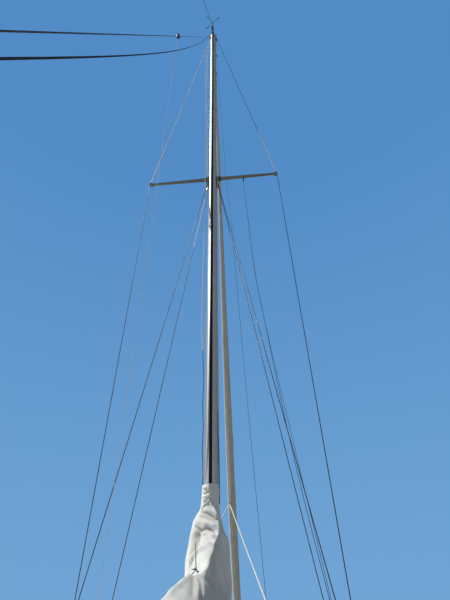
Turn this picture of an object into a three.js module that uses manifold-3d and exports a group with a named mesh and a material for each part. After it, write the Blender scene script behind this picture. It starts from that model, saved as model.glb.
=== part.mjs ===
// Masthead sloop, a 9.3 m cruising yacht afloat with its mainsail stowed under
// a boom cover and its headsail rolled on the forestay.
// Frame: millimetres, +Z up, +Y towards the bow, +X to starboard. The origin is
// on the waterline, on the centreline, straight under the middle of the mast.
import * as THREE from "three";
import { mergeVertices } from "three/addons/utils/BufferGeometryUtils.js";
import Module from "manifold-3d";

const wasm = await Module();
wasm.setup();

// Running gap between pieces that touch
const GAP = 0.3;

// Hull
const HULL_WALL = 36;
const DECK_THICKNESS = 30;
const DECK_CAMBER = 0.03;
const SIDE_DECK_FORE_Y = -3090;
const HULL_STATIONS = [
  // y at the sheer, half breadth, sheer height, keel line, bilge power, end rake
  [3550, 60, 1240, 260, 1.25, 0.5],
  [3150, 330, 1200, -60, 1.2, 0.42],
  [2600, 640, 1160, -230, 1.1, 0.28],
  [1800, 1010, 1108, -360, 0.95, 0.1],
  [800, 1340, 1055, -440, 0.82, 0],
  [-400, 1535, 1015, -470, 0.75, 0],
  [-1700, 1575, 990, -460, 0.72, 0],
  [-3000, 1490, 980, -400, 0.72, 0],
  [-4200, 1310, 985, -270, 0.72, 0],
  [-5100, 1110, 995, -110, 0.74, -0.1],
  [-5700, 950, 1005, 30, 0.76, -0.22],
];
const SECTION_STEPS = 12;
const HULL_REACH = 2000;

// Coachroof
const ROOF_WALL = 25;
const ROOF_JOINT = 1.5;
const ROOF_STATIONS = [
  // y, half width at the base, half width at the roof edge, edge height, crown height
  [1950, 330, 300, 1165, 1196],
  [1500, 470, 415, 1228, 1275],
  [900, 590, 515, 1288, 1345],
  [0, 720, 630, 1335, 1400],
  [-1200, 810, 700, 1370, 1445],
  [-2400, 840, 720, 1390, 1470],
  [-3150, 840, 720, 1400, 1480],
];
const ROOF_AFT_Y = -3150;
const COMPANION_HALF = 280;
const COMPANION_SILL_Z = 1060;
const COMPANION_FORE_Y = -2550;
const HATCH_RAIL = { inner: 302, outer: 332, bottom: 1440, top: 1500, length: 1320 };
const HATCH_LID = { half: 352, crown: 300, thickness: 30, crownTop: 42 };
const WASHBOARDS = { thickness: 20, top: 1478 };
const SIDE_WINDOWS = [
  // aft end y, fore end y, sill height, head height
  [-2650, -1550, 1150, 1300],
  [-1300, -350, 1150, 1285],
];
const FORE_HATCH = { y: 1200, size: 500, rim: 30, rise: 36, tilt: -0.1165 };

// Cockpit
const SEAT_Z = 1000;
const SEAT_HALF = 850;
const SOLE_Z = 560;
const FOOTWELL_HALF = 300;
const FOOTWELL = { fore: -3500, aft: -4750 };
const COCKPIT = { fore: -3178, aft: -5250, wall: 25 };
const COAMING = { outer: 890, cap: 975, top: 1250 };
const BRIDGE_TRACK = { half: 290, fore: -3330, aft: -3362, height: 26 };
const TRAVELLER = { half: 60, fore: -3320, aft: -3372, height: 52 };
const WINCH = { x: 915, y: -3700, base: 56, foot: 52, waist: 38, lip: 50 };
const WINCH_LEVELS = { base: 20, drum: 60, waist: 105, top: 135 };
const LOCKER = { inner: 350, outer: 812, fore: -3330, aft: -3850, ledge: 22, lid: 18 };

// Cabin furniture and engine
const CABIN_SOLE = { aft: -2450, fore: 1250, bottom: -170, top: -140 };
const SETTEE = { inner: 470, fore: -150, top: 240 };
const ENGINE = { half: 230, aft: -3000, fore: -2500, bottom: -450, top: 260 };

// Keel, rudder and drive
const KEEL = { top: -380, bottom: -1650, rootFore: 650, rootAft: -1250, tipFore: 250, tipAft: -1100 };
const STOCK = { y: -4900, radius: 22, bearing: 22.7, bore: 29, top: 1062 };
const RUDDER = { top: -200, bottom: -1400, fore: -4740, aft: -5230, tipFore: -4770, tipAft: -5150 };
const TILLER_LENGTH = 980;
const SHAFT = { fore: [0, -3100, -283], aft: [0, -4330, -500], radius: 12.5, bearing: 13.2 };
const PROPELLER = { radius: 190, root: 18, blades: 3, chord: 78, thickness: 7, pitch: 0.95, twist: 0.55 };

// Rig
const MAST_FOOT_Z = 1400;
const MAST_STEP_Z = 1420;
const MAST_TOP_Z = MAST_FOOT_Z + 12000;
const MAST_HALF = { x: 61, y: 87 };
const LUFF_GROOVE = { half: 15, depth: 20 };
const SPREADER_Z = MAST_FOOT_Z + 5984;
const SPREADER_HALF_SPAN = 996;
const WIRE = 4;
const CHAINPLATE_EYE_Z = 1140;
const SHROUDS = [
  // name, top x, top y, top z, foot x, foot y at the level z 1000
  ["cap_shroud", SPREADER_HALF_SPAN, 0, SPREADER_Z, 981, -148],
  ["lower_shroud_fore", 78, 22, SPREADER_Z - 120, 1026, 352],
  ["lower_shroud_aft", 78, -22, SPREADER_Z - 120, 1026, -508],
];
const SHROUD_FOOT_Z = 1000;
const FORESTAY = { foot: [0, 3395, 1345], head: [0, 152, 13390] };
const BACKSTAY = { foot: [0, -5600, 1130], head: [0, -236, 13400] };
// The lines over the boom end at one shackle on its end plate
const TOPPING_LIFT = { head: [-142, -12, 13399.4], foot: [18.5, -3620, 2152], radius: 2 };
const LIFT_BLOCK = { part: 0.635, half: 50, radius: 20 };
const LIFT_FALL = { foot: [-966.4, 318.4, 1360], radius: 2 };
const LIFT_SHACKLE = { x: [-5, 24], y: [-3634, -3604], height: 15 };
const MAIN_HALYARD = {
  head: [-20, -122, 13399.3], foot: [12, -3613, 2157.4], sag: 468, radius: 2.75, parts: 10,
};

// Boom and stowed sails
const BOOM_PIVOT_Y = -130;
const BOOM = { fore: -176, aft: -3620, foreZ: 2020, aftZ: 2075, halfX: 38, halfZ: 56 };
const END_PLATE = { below: 46, above: 66 };
const COVER_STATIONS = [
  // y, ridge height, half width, height of the widest place, half width at the ridge
  [-262, 2690, 165, 2350, 46],
  [-420, 2470, 190, 2320, 30],
  [-700, 2350, 188, 2270, 24],
  [-1100, 2295, 168, 2225, 20],
  [-1700, 2258, 140, 2200, 18],
  [-2500, 2230, 108, 2180, 16],
  [-3380, 2190, 72, 2150, 14],
];
const COLLAR_STATIONS = [
  // height, half width across, half length fore and aft
  [2150, 150, 140],
  [2420, 150, 145],
  [2600, 132, 135],
  [2740, 102, 120],
  [2890, 92, 108],
  [2992, 76, 102],
];
const ROLL_PROFILE = [
  // distance up the forestay, radius of the rolled sail
  [420, 26],
  [560, 40],
  [1500, 45],
  [2900, 46],
  [4000, 42],
  [6400, 31],
  [9000, 25],
  [11300, 18],
];

// Rails
const STANCHIONS = [1900, 700, -600, -1900, -3200, -4450];
const RAIL_HEIGHT = 610;
const RAIL_INSET = 75;
const RAIL_TUBE = 12.5;
const RAIL_BRACE = 9;
const RAIL_MIDDLE = 0.52;
const GUARD_WIRE = 3;
const GUARD_ENDS = [2387, -5067];
const TOE_RAIL = { outset: 8, width: 26, height: 42 };
const CLEATS = [2750, -4950];
const QUARTER = { x: 800, y: -5560, bendX: 760, bendY: -5590, endX: 420, endY: -5610 };

const COLORS = {
  gelcoat: 0xe9ebe8, bottom: 0x27384f, deck: 0xdedcd0, glass: 0x2b3338, teak: 0x9a6b3f,
  alloy: 0xb9bfc2, steel: 0xc9ccce, wire: 0x5d666c, canvas: 0xe4e8e8, sail: 0x8d8a80,
  bronze: 0xa8813c, black: 0x1d2024, spreader: 0x5a5a48, engine: 0x6b7276, rope: 0x2e333c,
};

const sloop = new THREE.Group();

function add(name, solid, color, roughness = 0.5, metalness = 0) {
  const material = new THREE.MeshStandardMaterial({ color, roughness, metalness });
  const mesh = new THREE.Mesh(geometryOf(solid), material);
  mesh.name = name;
  sloop.add(mesh);
}

// Solids from geometry, and back
function signedVolume(geometry) {
  const position = geometry.attributes.position;
  const index = geometry.index;
  const [a, b, c] = [new THREE.Vector3(), new THREE.Vector3(), new THREE.Vector3()];
  let volume = 0;
  for (let i = 0; i < index.count; i += 3) {
    a.fromBufferAttribute(position, index.getX(i));
    b.fromBufferAttribute(position, index.getX(i + 1));
    c.fromBufferAttribute(position, index.getX(i + 2));
    volume += a.dot(b.cross(c)) / 6;
  }
  return volume;
}

function solidOf(source) {
  const bare = source.clone();
  for (const key of Object.keys(bare.attributes)) {
    if (key !== "position") bare.deleteAttribute(key);
  }
  const geometry = mergeVertices(bare, 1e-3);
  const inward = signedVolume(geometry) < 0;
  const triVerts = new Uint32Array(geometry.index.array);
  if (inward) {
    for (let i = 0; i < triVerts.length; i += 3) {
      [triVerts[i], triVerts[i + 1]] = [triVerts[i + 1], triVerts[i]];
    }
  }
  const vertProperties = new Float32Array(geometry.attributes.position.array);
  return new wasm.Manifold(new wasm.Mesh({ numProp: 3, vertProperties, triVerts }));
}

function geometryOf(solid) {
  const mesh = solid.getMesh();
  const geometry = new THREE.BufferGeometry();
  geometry.setAttribute("position", new THREE.BufferAttribute(mesh.vertProperties, 3));
  geometry.setIndex(new THREE.BufferAttribute(mesh.triVerts, 1));
  geometry.computeVertexNormals();
  return geometry;
}

function join(...solids) {
  return solids.reduce((whole, piece) => whole.add(piece));
}

// Basic shapes
const UPRIGHT = new THREE.Vector3(0, 1, 0);

function box(x0, x1, y0, y1, z0, z1) {
  const geometry = new THREE.BoxGeometry(x1 - x0, y1 - y0, z1 - z0);
  geometry.translate((x0 + x1) / 2, (y0 + y1) / 2, (z0 + z1) / 2);
  return solidOf(geometry);
}

// A box on one hand of the boat, inner and outer measured from the centreline
function sideBox(hand, inner, outer, y0, y1, z0, z1) {
  const [x0, x1] = [hand * inner, hand * outer].sort((a, b) => a - b);
  return box(x0, x1, y0, y1, z0, z1);
}

function rod(from, to, radius, sides = 12, endRadius = radius) {
  const a = new THREE.Vector3(...from);
  const b = new THREE.Vector3(...to);
  const axis = b.clone().sub(a);
  const geometry = new THREE.CylinderGeometry(endRadius, radius, axis.length(), sides);
  geometry.translate(0, axis.length() / 2, 0);
  geometry.applyQuaternion(new THREE.Quaternion().setFromUnitVectors(UPRIGHT, axis.normalize()));
  geometry.translate(...from);
  return solidOf(geometry);
}

function bentTube(points, radius, sides = 8, steps = 6) {
  const curve = new THREE.CatmullRomCurve3(points.map((p) => new THREE.Vector3(...p)), false, "chordal");
  const shape = new THREE.Shape();
  shape.absarc(0, 0, radius, 0, Math.PI * 2);
  const settings = {
    steps: steps * (points.length - 1), curveSegments: sides / 2, bevelEnabled: false, extrudePath: curve,
  };
  return solidOf(new THREE.ExtrudeGeometry(shape, settings));
}

// A closed body through rings of equal length, capped at both ends
function loft(rings) {
  const count = rings[0].length;
  const vertices = rings.flat();
  const indices = [];
  for (let r = 0; r + 1 < rings.length; r += 1) {
    for (let i = 0; i < count; i += 1) {
      const j = (i + 1) % count;
      const [a, b] = [r * count + i, r * count + j];
      indices.push(a, b, b + count, a, b + count, a + count);
    }
  }
  for (const [start, turned] of [[0, true], [(rings.length - 1) * count, false]]) {
    const centre = new THREE.Vector3();
    for (let i = 0; i < count; i += 1) centre.add(new THREE.Vector3(...vertices[start + i]));
    centre.divideScalar(count);
    vertices.push(centre.toArray());
    for (let i = 0; i < count; i += 1) {
      const pair = [start + i, start + ((i + 1) % count)];
      if (turned) pair.reverse();
      indices.push(pair[0], pair[1], vertices.length - 1);
    }
  }
  const geometry = new THREE.BufferGeometry();
  geometry.setAttribute("position", new THREE.Float32BufferAttribute(vertices.flat(), 3));
  geometry.setIndex(indices);
  return solidOf(geometry);
}

// A flat outline pushed along one axis: "x" takes (y, z), "y" takes (x, z)
function prism(outline, axis, from, to) {
  const shape = outline instanceof THREE.Shape
    ? outline : new THREE.Shape(outline.map((p) => new THREE.Vector2(...p)));
  const settings = { depth: to - from, bevelEnabled: false, curveSegments: 4 };
  const geometry = new THREE.ExtrudeGeometry(shape, settings);
  const position = geometry.attributes.position;
  for (let i = 0; i < position.count; i += 1) {
    const [u, v, w] = [position.getX(i), position.getY(i), position.getZ(i) + from];
    if (axis === "x") position.setXYZ(i, w, u, v);
    else if (axis === "y") position.setXYZ(i, u, w, v);
    else position.setXYZ(i, u, v, w);
  }
  return solidOf(geometry);
}

function roundedOutline(u0, u1, v0, v1, radius) {
  const shape = new THREE.Shape();
  shape.moveTo(u0 + radius, v0);
  shape.lineTo(u1 - radius, v0);
  shape.absarc(u1 - radius, v0 + radius, radius, -Math.PI / 2, 0);
  shape.lineTo(u1, v1 - radius);
  shape.absarc(u1 - radius, v1 - radius, radius, 0, Math.PI / 2);
  shape.lineTo(u0 + radius, v1);
  shape.absarc(u0 + radius, v1 - radius, radius, Math.PI / 2, Math.PI);
  shape.lineTo(u0, v0 + radius);
  shape.absarc(u0 + radius, v0 + radius, radius, Math.PI, Math.PI * 1.5);
  return shape;
}

function ellipseRing(halfU, halfV, count, place) {
  const ring = [];
  for (let i = 0; i < count; i += 1) {
    const turn = (i / count) * Math.PI * 2;
    ring.push(place(halfU * Math.cos(turn), halfV * Math.sin(turn)));
  }
  return ring;
}

// Values between the rows of a station table, by its first column
function rowAt(table, y) {
  const order = table[0][0] > table[table.length - 1][0] ? 1 : -1;
  let k = 0;
  while (k < table.length - 2 && (table[k + 1][0] - y) * order > 0) k += 1;
  const [a, b] = [table[k], table[k + 1]];
  const t = (a[0] - y) / (a[0] - b[0]);
  return a.map((value, i) => value + (b[i] - value) * t);
}

// Extra rows between the stations of a table, on a smooth curve through them
function fair(table, parts) {
  const slopes = table.map((row, k) => {
    const before = table[Math.max(k - 1, 0)];
    const after = table[Math.min(k + 1, table.length - 1)];
    return row.map((_, i) => (after[i] - before[i]) / (after[0] - before[0]));
  });
  const rows = [];
  for (let k = 0; k + 1 < table.length; k += 1) {
    const [a, b] = [table[k], table[k + 1]];
    const span = b[0] - a[0];
    for (let j = 0; j < parts; j += 1) {
      const t = j / parts;
      const [leave, arrive] = [slopes[k], slopes[k + 1]];
      rows.push(a.map((value, i) => value * (1 + 2 * t) * (1 - t) ** 2 + b[i] * (3 - 2 * t) * t ** 2
        + span * t * (1 - t) * (leave[i] * (1 - t) - arrive[i] * t)));
    }
  }
  rows.push(table[table.length - 1]);
  return rows;
}

const HULL_ROWS = fair(HULL_STATIONS, 3);
const ROOF_ROWS = fair(ROOF_STATIONS, 2);

// The rows of a table that lie between two ends, with one at each end
function rowsBetween(table, foreY, aftY) {
  const inner = table.filter(([y]) => y < foreY - 20 && y > aftY + 20);
  return [rowAt(table, foreY), ...inner, rowAt(table, aftY)];
}

// Hull
function hullRing(station, inset, lift) {
  const [y, breadth, sheer, keel, power, rake] = station;
  const half = [];
  for (let i = 0; i <= SECTION_STEPS; i += 1) {
    const turn = (i / SECTION_STEPS) * (Math.PI / 2);
    const x = (breadth - inset) * Math.sin(turn) ** power;
    const z = sheer - (sheer - keel - inset) * Math.cos(turn);
    half.push([x, y + rake * (z - sheer), z]);
  }
  if (lift) half.push([breadth - inset, y, sheer + lift]);
  const port = half.slice(1).reverse().map(([x, yy, z]) => [-x, yy, z]);
  return [...half, ...port];
}

function hullBody(inset = 0) {
  return loft(HULL_ROWS.map((row) => hullRing(row, inset, 0)));
}

function hullHollow(inset) {
  return loft(rowsBetween(HULL_ROWS, 3390, -5660).map((row) => hullRing(row, inset, 200)));
}

function deckTopAt(x, y) {
  const [, breadth, sheer] = rowAt(HULL_ROWS, y);
  return sheer + DECK_THICKNESS + DECK_CAMBER * breadth * (1 - (x / breadth) ** 2);
}

// The deck slab; raise lifts its top and drop lowers its underside, for a cutter
function deckBody(raise = 0, drop = 0) {
  const rings = HULL_ROWS.map(([y, breadth, sheer]) => {
    const ring = [[-breadth, y, sheer + GAP - drop], [breadth, y, sheer + GAP - drop]];
    for (const part of [1, 0.75, 0.5, 0.25, 0, -0.25, -0.5, -0.75, -1]) {
      ring.push([part * breadth, y, deckTopAt(part * breadth, y) + raise]);
    }
    return ring;
  });
  return loft(rings);
}

// Coachroof outside or inside surface: grow moves walls and roof, drop lowers the base
function roofRing(station, grow, drop) {
  const [y, base, edge, edgeZ, crownZ] = station;
  const sheer = rowAt(HULL_ROWS, y)[2];
  const half = [[base + grow, y, sheer + GAP]];
  if (drop > 0) half.unshift([base + grow, y, sheer + GAP - drop]);
  half.push([edge + grow + 14, y, edgeZ + grow - 45]);
  half.push([edge + grow, y, edgeZ + grow - 12]);
  half.push([edge + grow - 30, y, edgeZ + grow + 4]);
  for (const part of [0.66, 0.33]) {
    half.push([part * edge, y, edgeZ + grow + (crownZ - edgeZ) * (1 - part ** 2)]);
  }
  const port = half.map(([x, yy, z]) => [-x, yy, z]).reverse();
  return [...half, [0, y, crownZ + grow], ...port];
}

function roofBody(grow, drop = 0, aftY = ROOF_AFT_Y, foreY = ROOF_STATIONS[0][0]) {
  return loft(rowsBetween(ROOF_ROWS, foreY, aftY).map((row) => roofRing(row, grow, drop)));
}

function addHull() {
  const tube = rod([0, STOCK.y, -160], [0, STOCK.y, SEAT_Z - COCKPIT.wall - GAP], 42, 20);
  const sternTube = rod([0, -3020, -269], [0, -3560, -364], 34, 16);
  const sternBore = rod([0, -3080, -279.5], [0, -3700, -388.8], 20, 16);
  const stockBore = rod([0, STOCK.y, -400], [0, STOCK.y, SEAT_Z + 100], STOCK.bore, 20);
  const shell = hullBody().subtract(hullHollow(HULL_WALL));
  const hull = join(shell, tube, sternTube).subtract(stockBore).subtract(sternBore);
  add("hull", hull, COLORS.gelcoat, 0.25);
}

function cockpitSpace(grow) {
  return box(-COAMING.outer - grow, COAMING.outer + grow, COCKPIT.aft - grow, ROOF_AFT_Y + 60,
    SEAT_Z - 200, COAMING.top + 200);
}

// The deck in four pieces that meet beside and behind the cockpit
function addDeck() {
  const deck = deckBody().subtract(roofBody(ROOF_JOINT, 100)).subtract(cockpitSpace(GAP));
  const [low, high] = [900, 1400];
  const fore = box(-HULL_REACH, HULL_REACH, SIDE_DECK_FORE_Y, HULL_STATIONS[0][0] + 50, low, high);
  const aft = box(-HULL_REACH, HULL_REACH, -5800, COCKPIT.aft - 2 * GAP, low, high);
  add("deck_fore", deck.intersect(fore), COLORS.deck, 0.6);
  add("deck_aft", deck.intersect(aft), COLORS.deck, 0.6);
  for (const hand of [-1, 1]) {
    const inner = COAMING.outer + 2 * GAP;
    const side = sideBox(hand, inner, HULL_REACH, COCKPIT.aft - GAP, SIDE_DECK_FORE_Y - GAP, low, high);
    add(`side_deck_${hand < 0 ? "port" : "starboard"}`, deck.intersect(side), COLORS.deck, 0.6);
  }
}

function windowOutline([aft, fore, sill, head], shrink) {
  return roundedOutline(aft + shrink, fore - shrink, sill + shrink, head - shrink, 60);
}

function foreHatchPlace(solid) {
  const crown = rowAt(ROOF_ROWS, FORE_HATCH.y)[4];
  const tilt = THREE.MathUtils.radToDeg(FORE_HATCH.tilt);
  return solid.rotate([tilt, 0, 0]).translate([0, FORE_HATCH.y, crown]);
}

function addCoachroof() {
  const half = FORE_HATCH.size / 2;
  const rim = half + FORE_HATCH.rim;
  const frame = foreHatchPlace(box(-rim, rim, -rim, rim, -70, FORE_HATCH.rise));
  const rails = [-1, 1].map((hand) => sideBox(hand, HATCH_RAIL.inner, HATCH_RAIL.outer,
    ROOF_AFT_Y, ROOF_AFT_Y + HATCH_RAIL.length, HATCH_RAIL.bottom, HATCH_RAIL.top));
  let roof = join(roofBody(0), frame, ...rails);
  roof = roof.subtract(roofBody(-ROOF_WALL, 200, ROOF_AFT_Y + ROOF_WALL, ROOF_STATIONS[0][0] - 50));
  roof = roof.subtract(foreHatchPlace(box(-half, half, -half, half, -200, 200)));
  roof = roof.subtract(box(-COMPANION_HALF, COMPANION_HALF, ROOF_AFT_Y - 50, ROOF_AFT_Y + 50,
    COMPANION_SILL_Z, 1700));
  roof = roof.subtract(box(-COMPANION_HALF, COMPANION_HALF, ROOF_AFT_Y - 50, COMPANION_FORE_Y, 1300, 1700));
  for (const row of SIDE_WINDOWS) roof = roof.subtract(prism(windowOutline(row, 0), "x", -1000, 1000));
  add("coachroof", roof, COLORS.gelcoat, 0.35);

  const pane = roofBody(-6).subtract(roofBody(-14, 200, ROOF_AFT_Y + 14, 1936));
  SIDE_WINDOWS.forEach((row, i) => {
    const place = ["aft", "fore"][i];
    const cutter = windowOutline(row, GAP);
    add(`window_${place}_port`, pane.intersect(prism(cutter, "x", -1000, 0)), COLORS.glass, 0.1);
    add(`window_${place}_starboard`, pane.intersect(prism(cutter, "x", 0, 1000)), COLORS.glass, 0.1);
  });

  const boards = box(-COMPANION_HALF + GAP, COMPANION_HALF - GAP,
    ROOF_AFT_Y + 2, ROOF_AFT_Y + 2 + WASHBOARDS.thickness, COMPANION_SILL_Z + GAP, WASHBOARDS.top);
  add("washboards", boards, COLORS.teak, 0.5);
  const { top } = HATCH_RAIL;
  const lid = join(
    box(-HATCH_LID.half, HATCH_LID.half, ROOF_AFT_Y - 30, COMPANION_FORE_Y + 40,
      top + GAP, top + HATCH_LID.thickness),
    box(-HATCH_LID.crown, HATCH_LID.crown, ROOF_AFT_Y - 10, COMPANION_FORE_Y + 20,
      top + HATCH_LID.thickness - 5, top + HATCH_LID.crownTop),
  );
  add("companion_hatch", lid, COLORS.glass, 0.15);
  const foreLid = box(-rim - 6, rim + 6, -rim - 6, rim + 6, FORE_HATCH.rise + GAP, FORE_HATCH.rise + 26);
  add("fore_hatch", foreHatchPlace(foreLid), COLORS.glass, 0.15);
}

function addCockpit() {
  const { fore, aft, wall } = COCKPIT;
  const seat = SEAT_Z - wall;
  const side = [
    [SEAT_HALF - 30, seat], [COAMING.outer, seat], [COAMING.outer, COAMING.top - 40],
    [COAMING.cap, COAMING.top - 40], [COAMING.cap, COAMING.top], [SEAT_HALF, COAMING.top],
    [SEAT_HALF, SEAT_Z - 5], [SEAT_HALF - 30, SEAT_Z - 5],
  ];
  const mirrored = side.map(([x, z]) => [-x, z]);
  let tub = join(
    box(-COAMING.outer, COAMING.outer, aft, fore, seat, SEAT_Z),
    prism(side, "y", aft, fore),
    prism(mirrored, "y", aft, fore),
    box(-COAMING.outer, COAMING.outer, aft, aft + wall, seat, 1110),
    box(-FOOTWELL_HALF - wall, FOOTWELL_HALF + wall, FOOTWELL.aft - wall, FOOTWELL.fore + wall,
      SOLE_Z - wall, SEAT_Z),
  );
  tub = tub.subtract(box(-FOOTWELL_HALF, FOOTWELL_HALF, FOOTWELL.aft, FOOTWELL.fore, SOLE_Z, SEAT_Z + 50));
  tub = tub.subtract(rod([0, STOCK.y, 900], [0, STOCK.y, 1050], STOCK.bearing, 20));
  for (const hand of [-1, 1]) {
    const cut = (inset, z0, z1) => sideBox(hand, LOCKER.inner + inset, LOCKER.outer - inset,
      LOCKER.aft + inset, LOCKER.fore - inset, z0, z1);
    tub = tub.subtract(cut(0, SEAT_Z - LOCKER.lid - GAP, 1100)).subtract(cut(LOCKER.ledge, 900, 1100));
    const lid = cut(6, SEAT_Z - LOCKER.lid, SEAT_Z + 4);
    add(`locker_lid_${hand < 0 ? "port" : "starboard"}`, lid, COLORS.teak, 0.6);
  }
  const outside = deckBody(GAP).subtract(cockpitSpace(0));
  add("cockpit", tub.subtract(outside), COLORS.deck, 0.5);
  const track = join(
    box(-BRIDGE_TRACK.half, BRIDGE_TRACK.half, BRIDGE_TRACK.aft, BRIDGE_TRACK.fore,
      SEAT_Z + GAP, SEAT_Z + BRIDGE_TRACK.height),
    box(-TRAVELLER.half, TRAVELLER.half, TRAVELLER.aft, TRAVELLER.fore,
      SEAT_Z + BRIDGE_TRACK.height - 6, SEAT_Z + TRAVELLER.height),
  );
  add("mainsheet_track", track, COLORS.alloy, 0.4, 0.8);
  for (const hand of [-1, 1]) {
    const label = hand < 0 ? "port" : "starboard";
    const at = (height) => [hand * WINCH.x, WINCH.y, COAMING.top + height];
    const { base, drum, waist, top } = WINCH_LEVELS;
    const winch = join(
      rod(at(base + GAP), at(drum), WINCH.foot, 24, WINCH.waist),
      rod(at(drum), at(waist), WINCH.waist, 24),
      rod(at(waist), at(top), WINCH.waist, 24, WINCH.lip),
    );
    add(`winch_base_${label}`, rod(at(GAP), at(base), WINCH.base, 24), COLORS.black);
    add(`winch_drum_${label}`, winch, COLORS.steel, 0.25, 0.9);
  }
}

function addInside() {
  const inner = hullHollow(HULL_WALL + GAP);
  const { aft, fore, bottom, top } = CABIN_SOLE;
  const sole = box(-HULL_REACH, HULL_REACH, aft, fore, bottom, top);
  const settees = [-1, 1].map((hand) => sideBox(hand, SETTEE.inner, HULL_REACH,
    aft, SETTEE.fore, bottom + 10, SETTEE.top));
  add("saloon_floor", join(sole, ...settees).intersect(inner), COLORS.teak, 0.6);
  const engine = box(-ENGINE.half, ENGINE.half, ENGINE.aft, ENGINE.fore, ENGINE.bottom, ENGINE.top);
  add("engine_block", engine.intersect(inner), COLORS.engine, 0.6);
}

// Foil section between a fore and an aft edge
function foilRing(fore, aft, thickness, z) {
  const ring = [];
  const steps = 8;
  const chord = fore - aft;
  for (let i = 0; i <= steps; i += 1) {
    const t = (1 - Math.cos((i / steps) * Math.PI)) / 2;
    const half = (thickness / 2) * (2.6 * (Math.sqrt(t) - t) + 0.42 * t * (1 - t) * 2) + 2;
    ring.push([half, fore - chord * t, z]);
  }
  const port = ring.map(([x, y, zz]) => [-x, y, zz]).reverse();
  return [...ring, ...port];
}

// One twisted blade, standing up from the hub along Z
function bladeGeometry(span) {
  const geometry = new THREE.BoxGeometry(PROPELLER.chord, PROPELLER.thickness, span, 3, 1, 5);
  const position = geometry.attributes.position;
  for (let k = 0; k < position.count; k += 1) {
    const r = position.getZ(k) + span / 2;
    const part = r / span;
    const tip = part > 0.92 ? 0.62 : 1;
    const width = tip * (0.55 + 0.9 * Math.sin(Math.PI * Math.min(part * 0.62 + 0.14, 1)));
    const pitch = PROPELLER.pitch - PROPELLER.twist * part;
    const [u, v] = [position.getX(k) * width, position.getY(k)];
    const [c, s] = [Math.cos(pitch), Math.sin(pitch)];
    position.setXYZ(k, u * c - v * s, u * s + v * c, r + PROPELLER.root);
  }
  return geometry;
}

function addKeelRudderDrive() {
  const fin = loft([
    foilRing(KEEL.rootFore, KEEL.rootAft, 240, KEEL.top),
    foilRing(KEEL.tipFore, KEEL.tipAft, 200, KEEL.bottom),
  ]);
  add("keel", fin.subtract(hullBody(-GAP)), COLORS.bottom, 0.8);
  const blade = loft([
    foilRing(RUDDER.fore, RUDDER.aft, 90, RUDDER.top),
    foilRing(RUDDER.tipFore, RUDDER.tipAft, 66, RUDDER.bottom),
  ]);
  const stock = rod([0, STOCK.y, RUDDER.top - 300], [0, STOCK.y, STOCK.top], STOCK.radius, 16);
  add("rudder", join(blade, stock), COLORS.bottom, 0.7);
  const head = STOCK.top + GAP;
  const grip = loft([
    ellipseRing(24, 30, 10, (u, v) => [u, STOCK.y - 70, head + 32 + v]),
    ellipseRing(24, 30, 10, (u, v) => [u, STOCK.y + 120, head + 44 + v]),
    ellipseRing(17, 20, 10, (u, v) => [u, STOCK.y + 620, head + 118 + v]),
    ellipseRing(19, 19, 10, (u, v) => [u, STOCK.y + TILLER_LENGTH, head + 150 + v]),
  ]);
  const socket = join(
    rod([0, STOCK.y, head], [0, STOCK.y, head + 20], 36, 16),
    box(-30, 30, STOCK.y - 60, STOCK.y + 60, head + 8, head + 66),
  );
  add("tiller", join(grip, socket), COLORS.teak, 0.4);

  const aft = new THREE.Vector3(...SHAFT.aft);
  const along = aft.clone().sub(new THREE.Vector3(...SHAFT.fore)).normalize();
  const at = (distance) => aft.clone().addScaledVector(along, distance).toArray();
  let screw = join(
    rod(SHAFT.fore, at(0), SHAFT.radius, 12),
    rod(at(-70), at(30), 32, 16, 26),
    rod(at(30), at(62), 26, 16, 8),
  );
  const turn = new THREE.Quaternion().setFromUnitVectors(new THREE.Vector3(0, -1, 0), along);
  for (let i = 0; i < PROPELLER.blades; i += 1) {
    const blade = bladeGeometry(PROPELLER.radius - PROPELLER.root - 2);
    blade.rotateY((i / PROPELLER.blades) * Math.PI * 2);
    blade.applyQuaternion(turn);
    blade.translate(...at(-22));
    screw = screw.add(solidOf(blade));
  }
  add("propeller", screw, COLORS.bronze, 0.35, 0.9);
  const bearing = join(
    rod(at(-190), at(-105), 34, 16),
    loft([
      ellipseRing(9, 36, 10, (u, v) => [u, at(-150)[1] + v, at(-150)[2] + 20]),
      ellipseRing(9, 36, 10, (u, v) => [u, at(-150)[1] + v + 4, at(-150)[2] + 260]),
    ]),
  );
  const strut = bearing.subtract(rod(at(-300), at(0), SHAFT.bearing, 16)).subtract(hullBody(-GAP));
  add("shaft_strut", strut, COLORS.bronze, 0.4, 0.8);
}

// Rails
// A point over the deck edge, in by the rails' inset
function railPoint(hand, y, height) {
  const reach = Math.max(rowAt(HULL_ROWS, y)[1] - RAIL_INSET, 40);
  return [hand * reach, y, deckTopAt(reach, y) + height];
}

function toeRail(hand) {
  const rings = HULL_ROWS.map(([y, breadth, sheer]) => {
    const outer = hand * (breadth - TOE_RAIL.outset);
    const inner = hand * (breadth - TOE_RAIL.outset - TOE_RAIL.width);
    const top = sheer + DECK_THICKNESS + TOE_RAIL.height;
    return [[inner, y, sheer + 12], [outer, y, sheer + 12], [outer, y, top], [inner, y, top]];
  });
  let rail = loft(rings);
  for (const y of CLEATS) {
    const row = rowAt(HULL_ROWS, y);
    const x = hand * (row[1] - TOE_RAIL.outset - TOE_RAIL.width / 2);
    const z = row[2] + DECK_THICKNESS + TOE_RAIL.height - 6;
    rail = join(
      rail,
      box(x - 13, x + 13, y - 45, y + 45, z - 20, z + 28),
      rod([x, y - 110, z + 36], [x, y + 110, z + 36], 12, 10),
    );
  }
  return rail;
}

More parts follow.
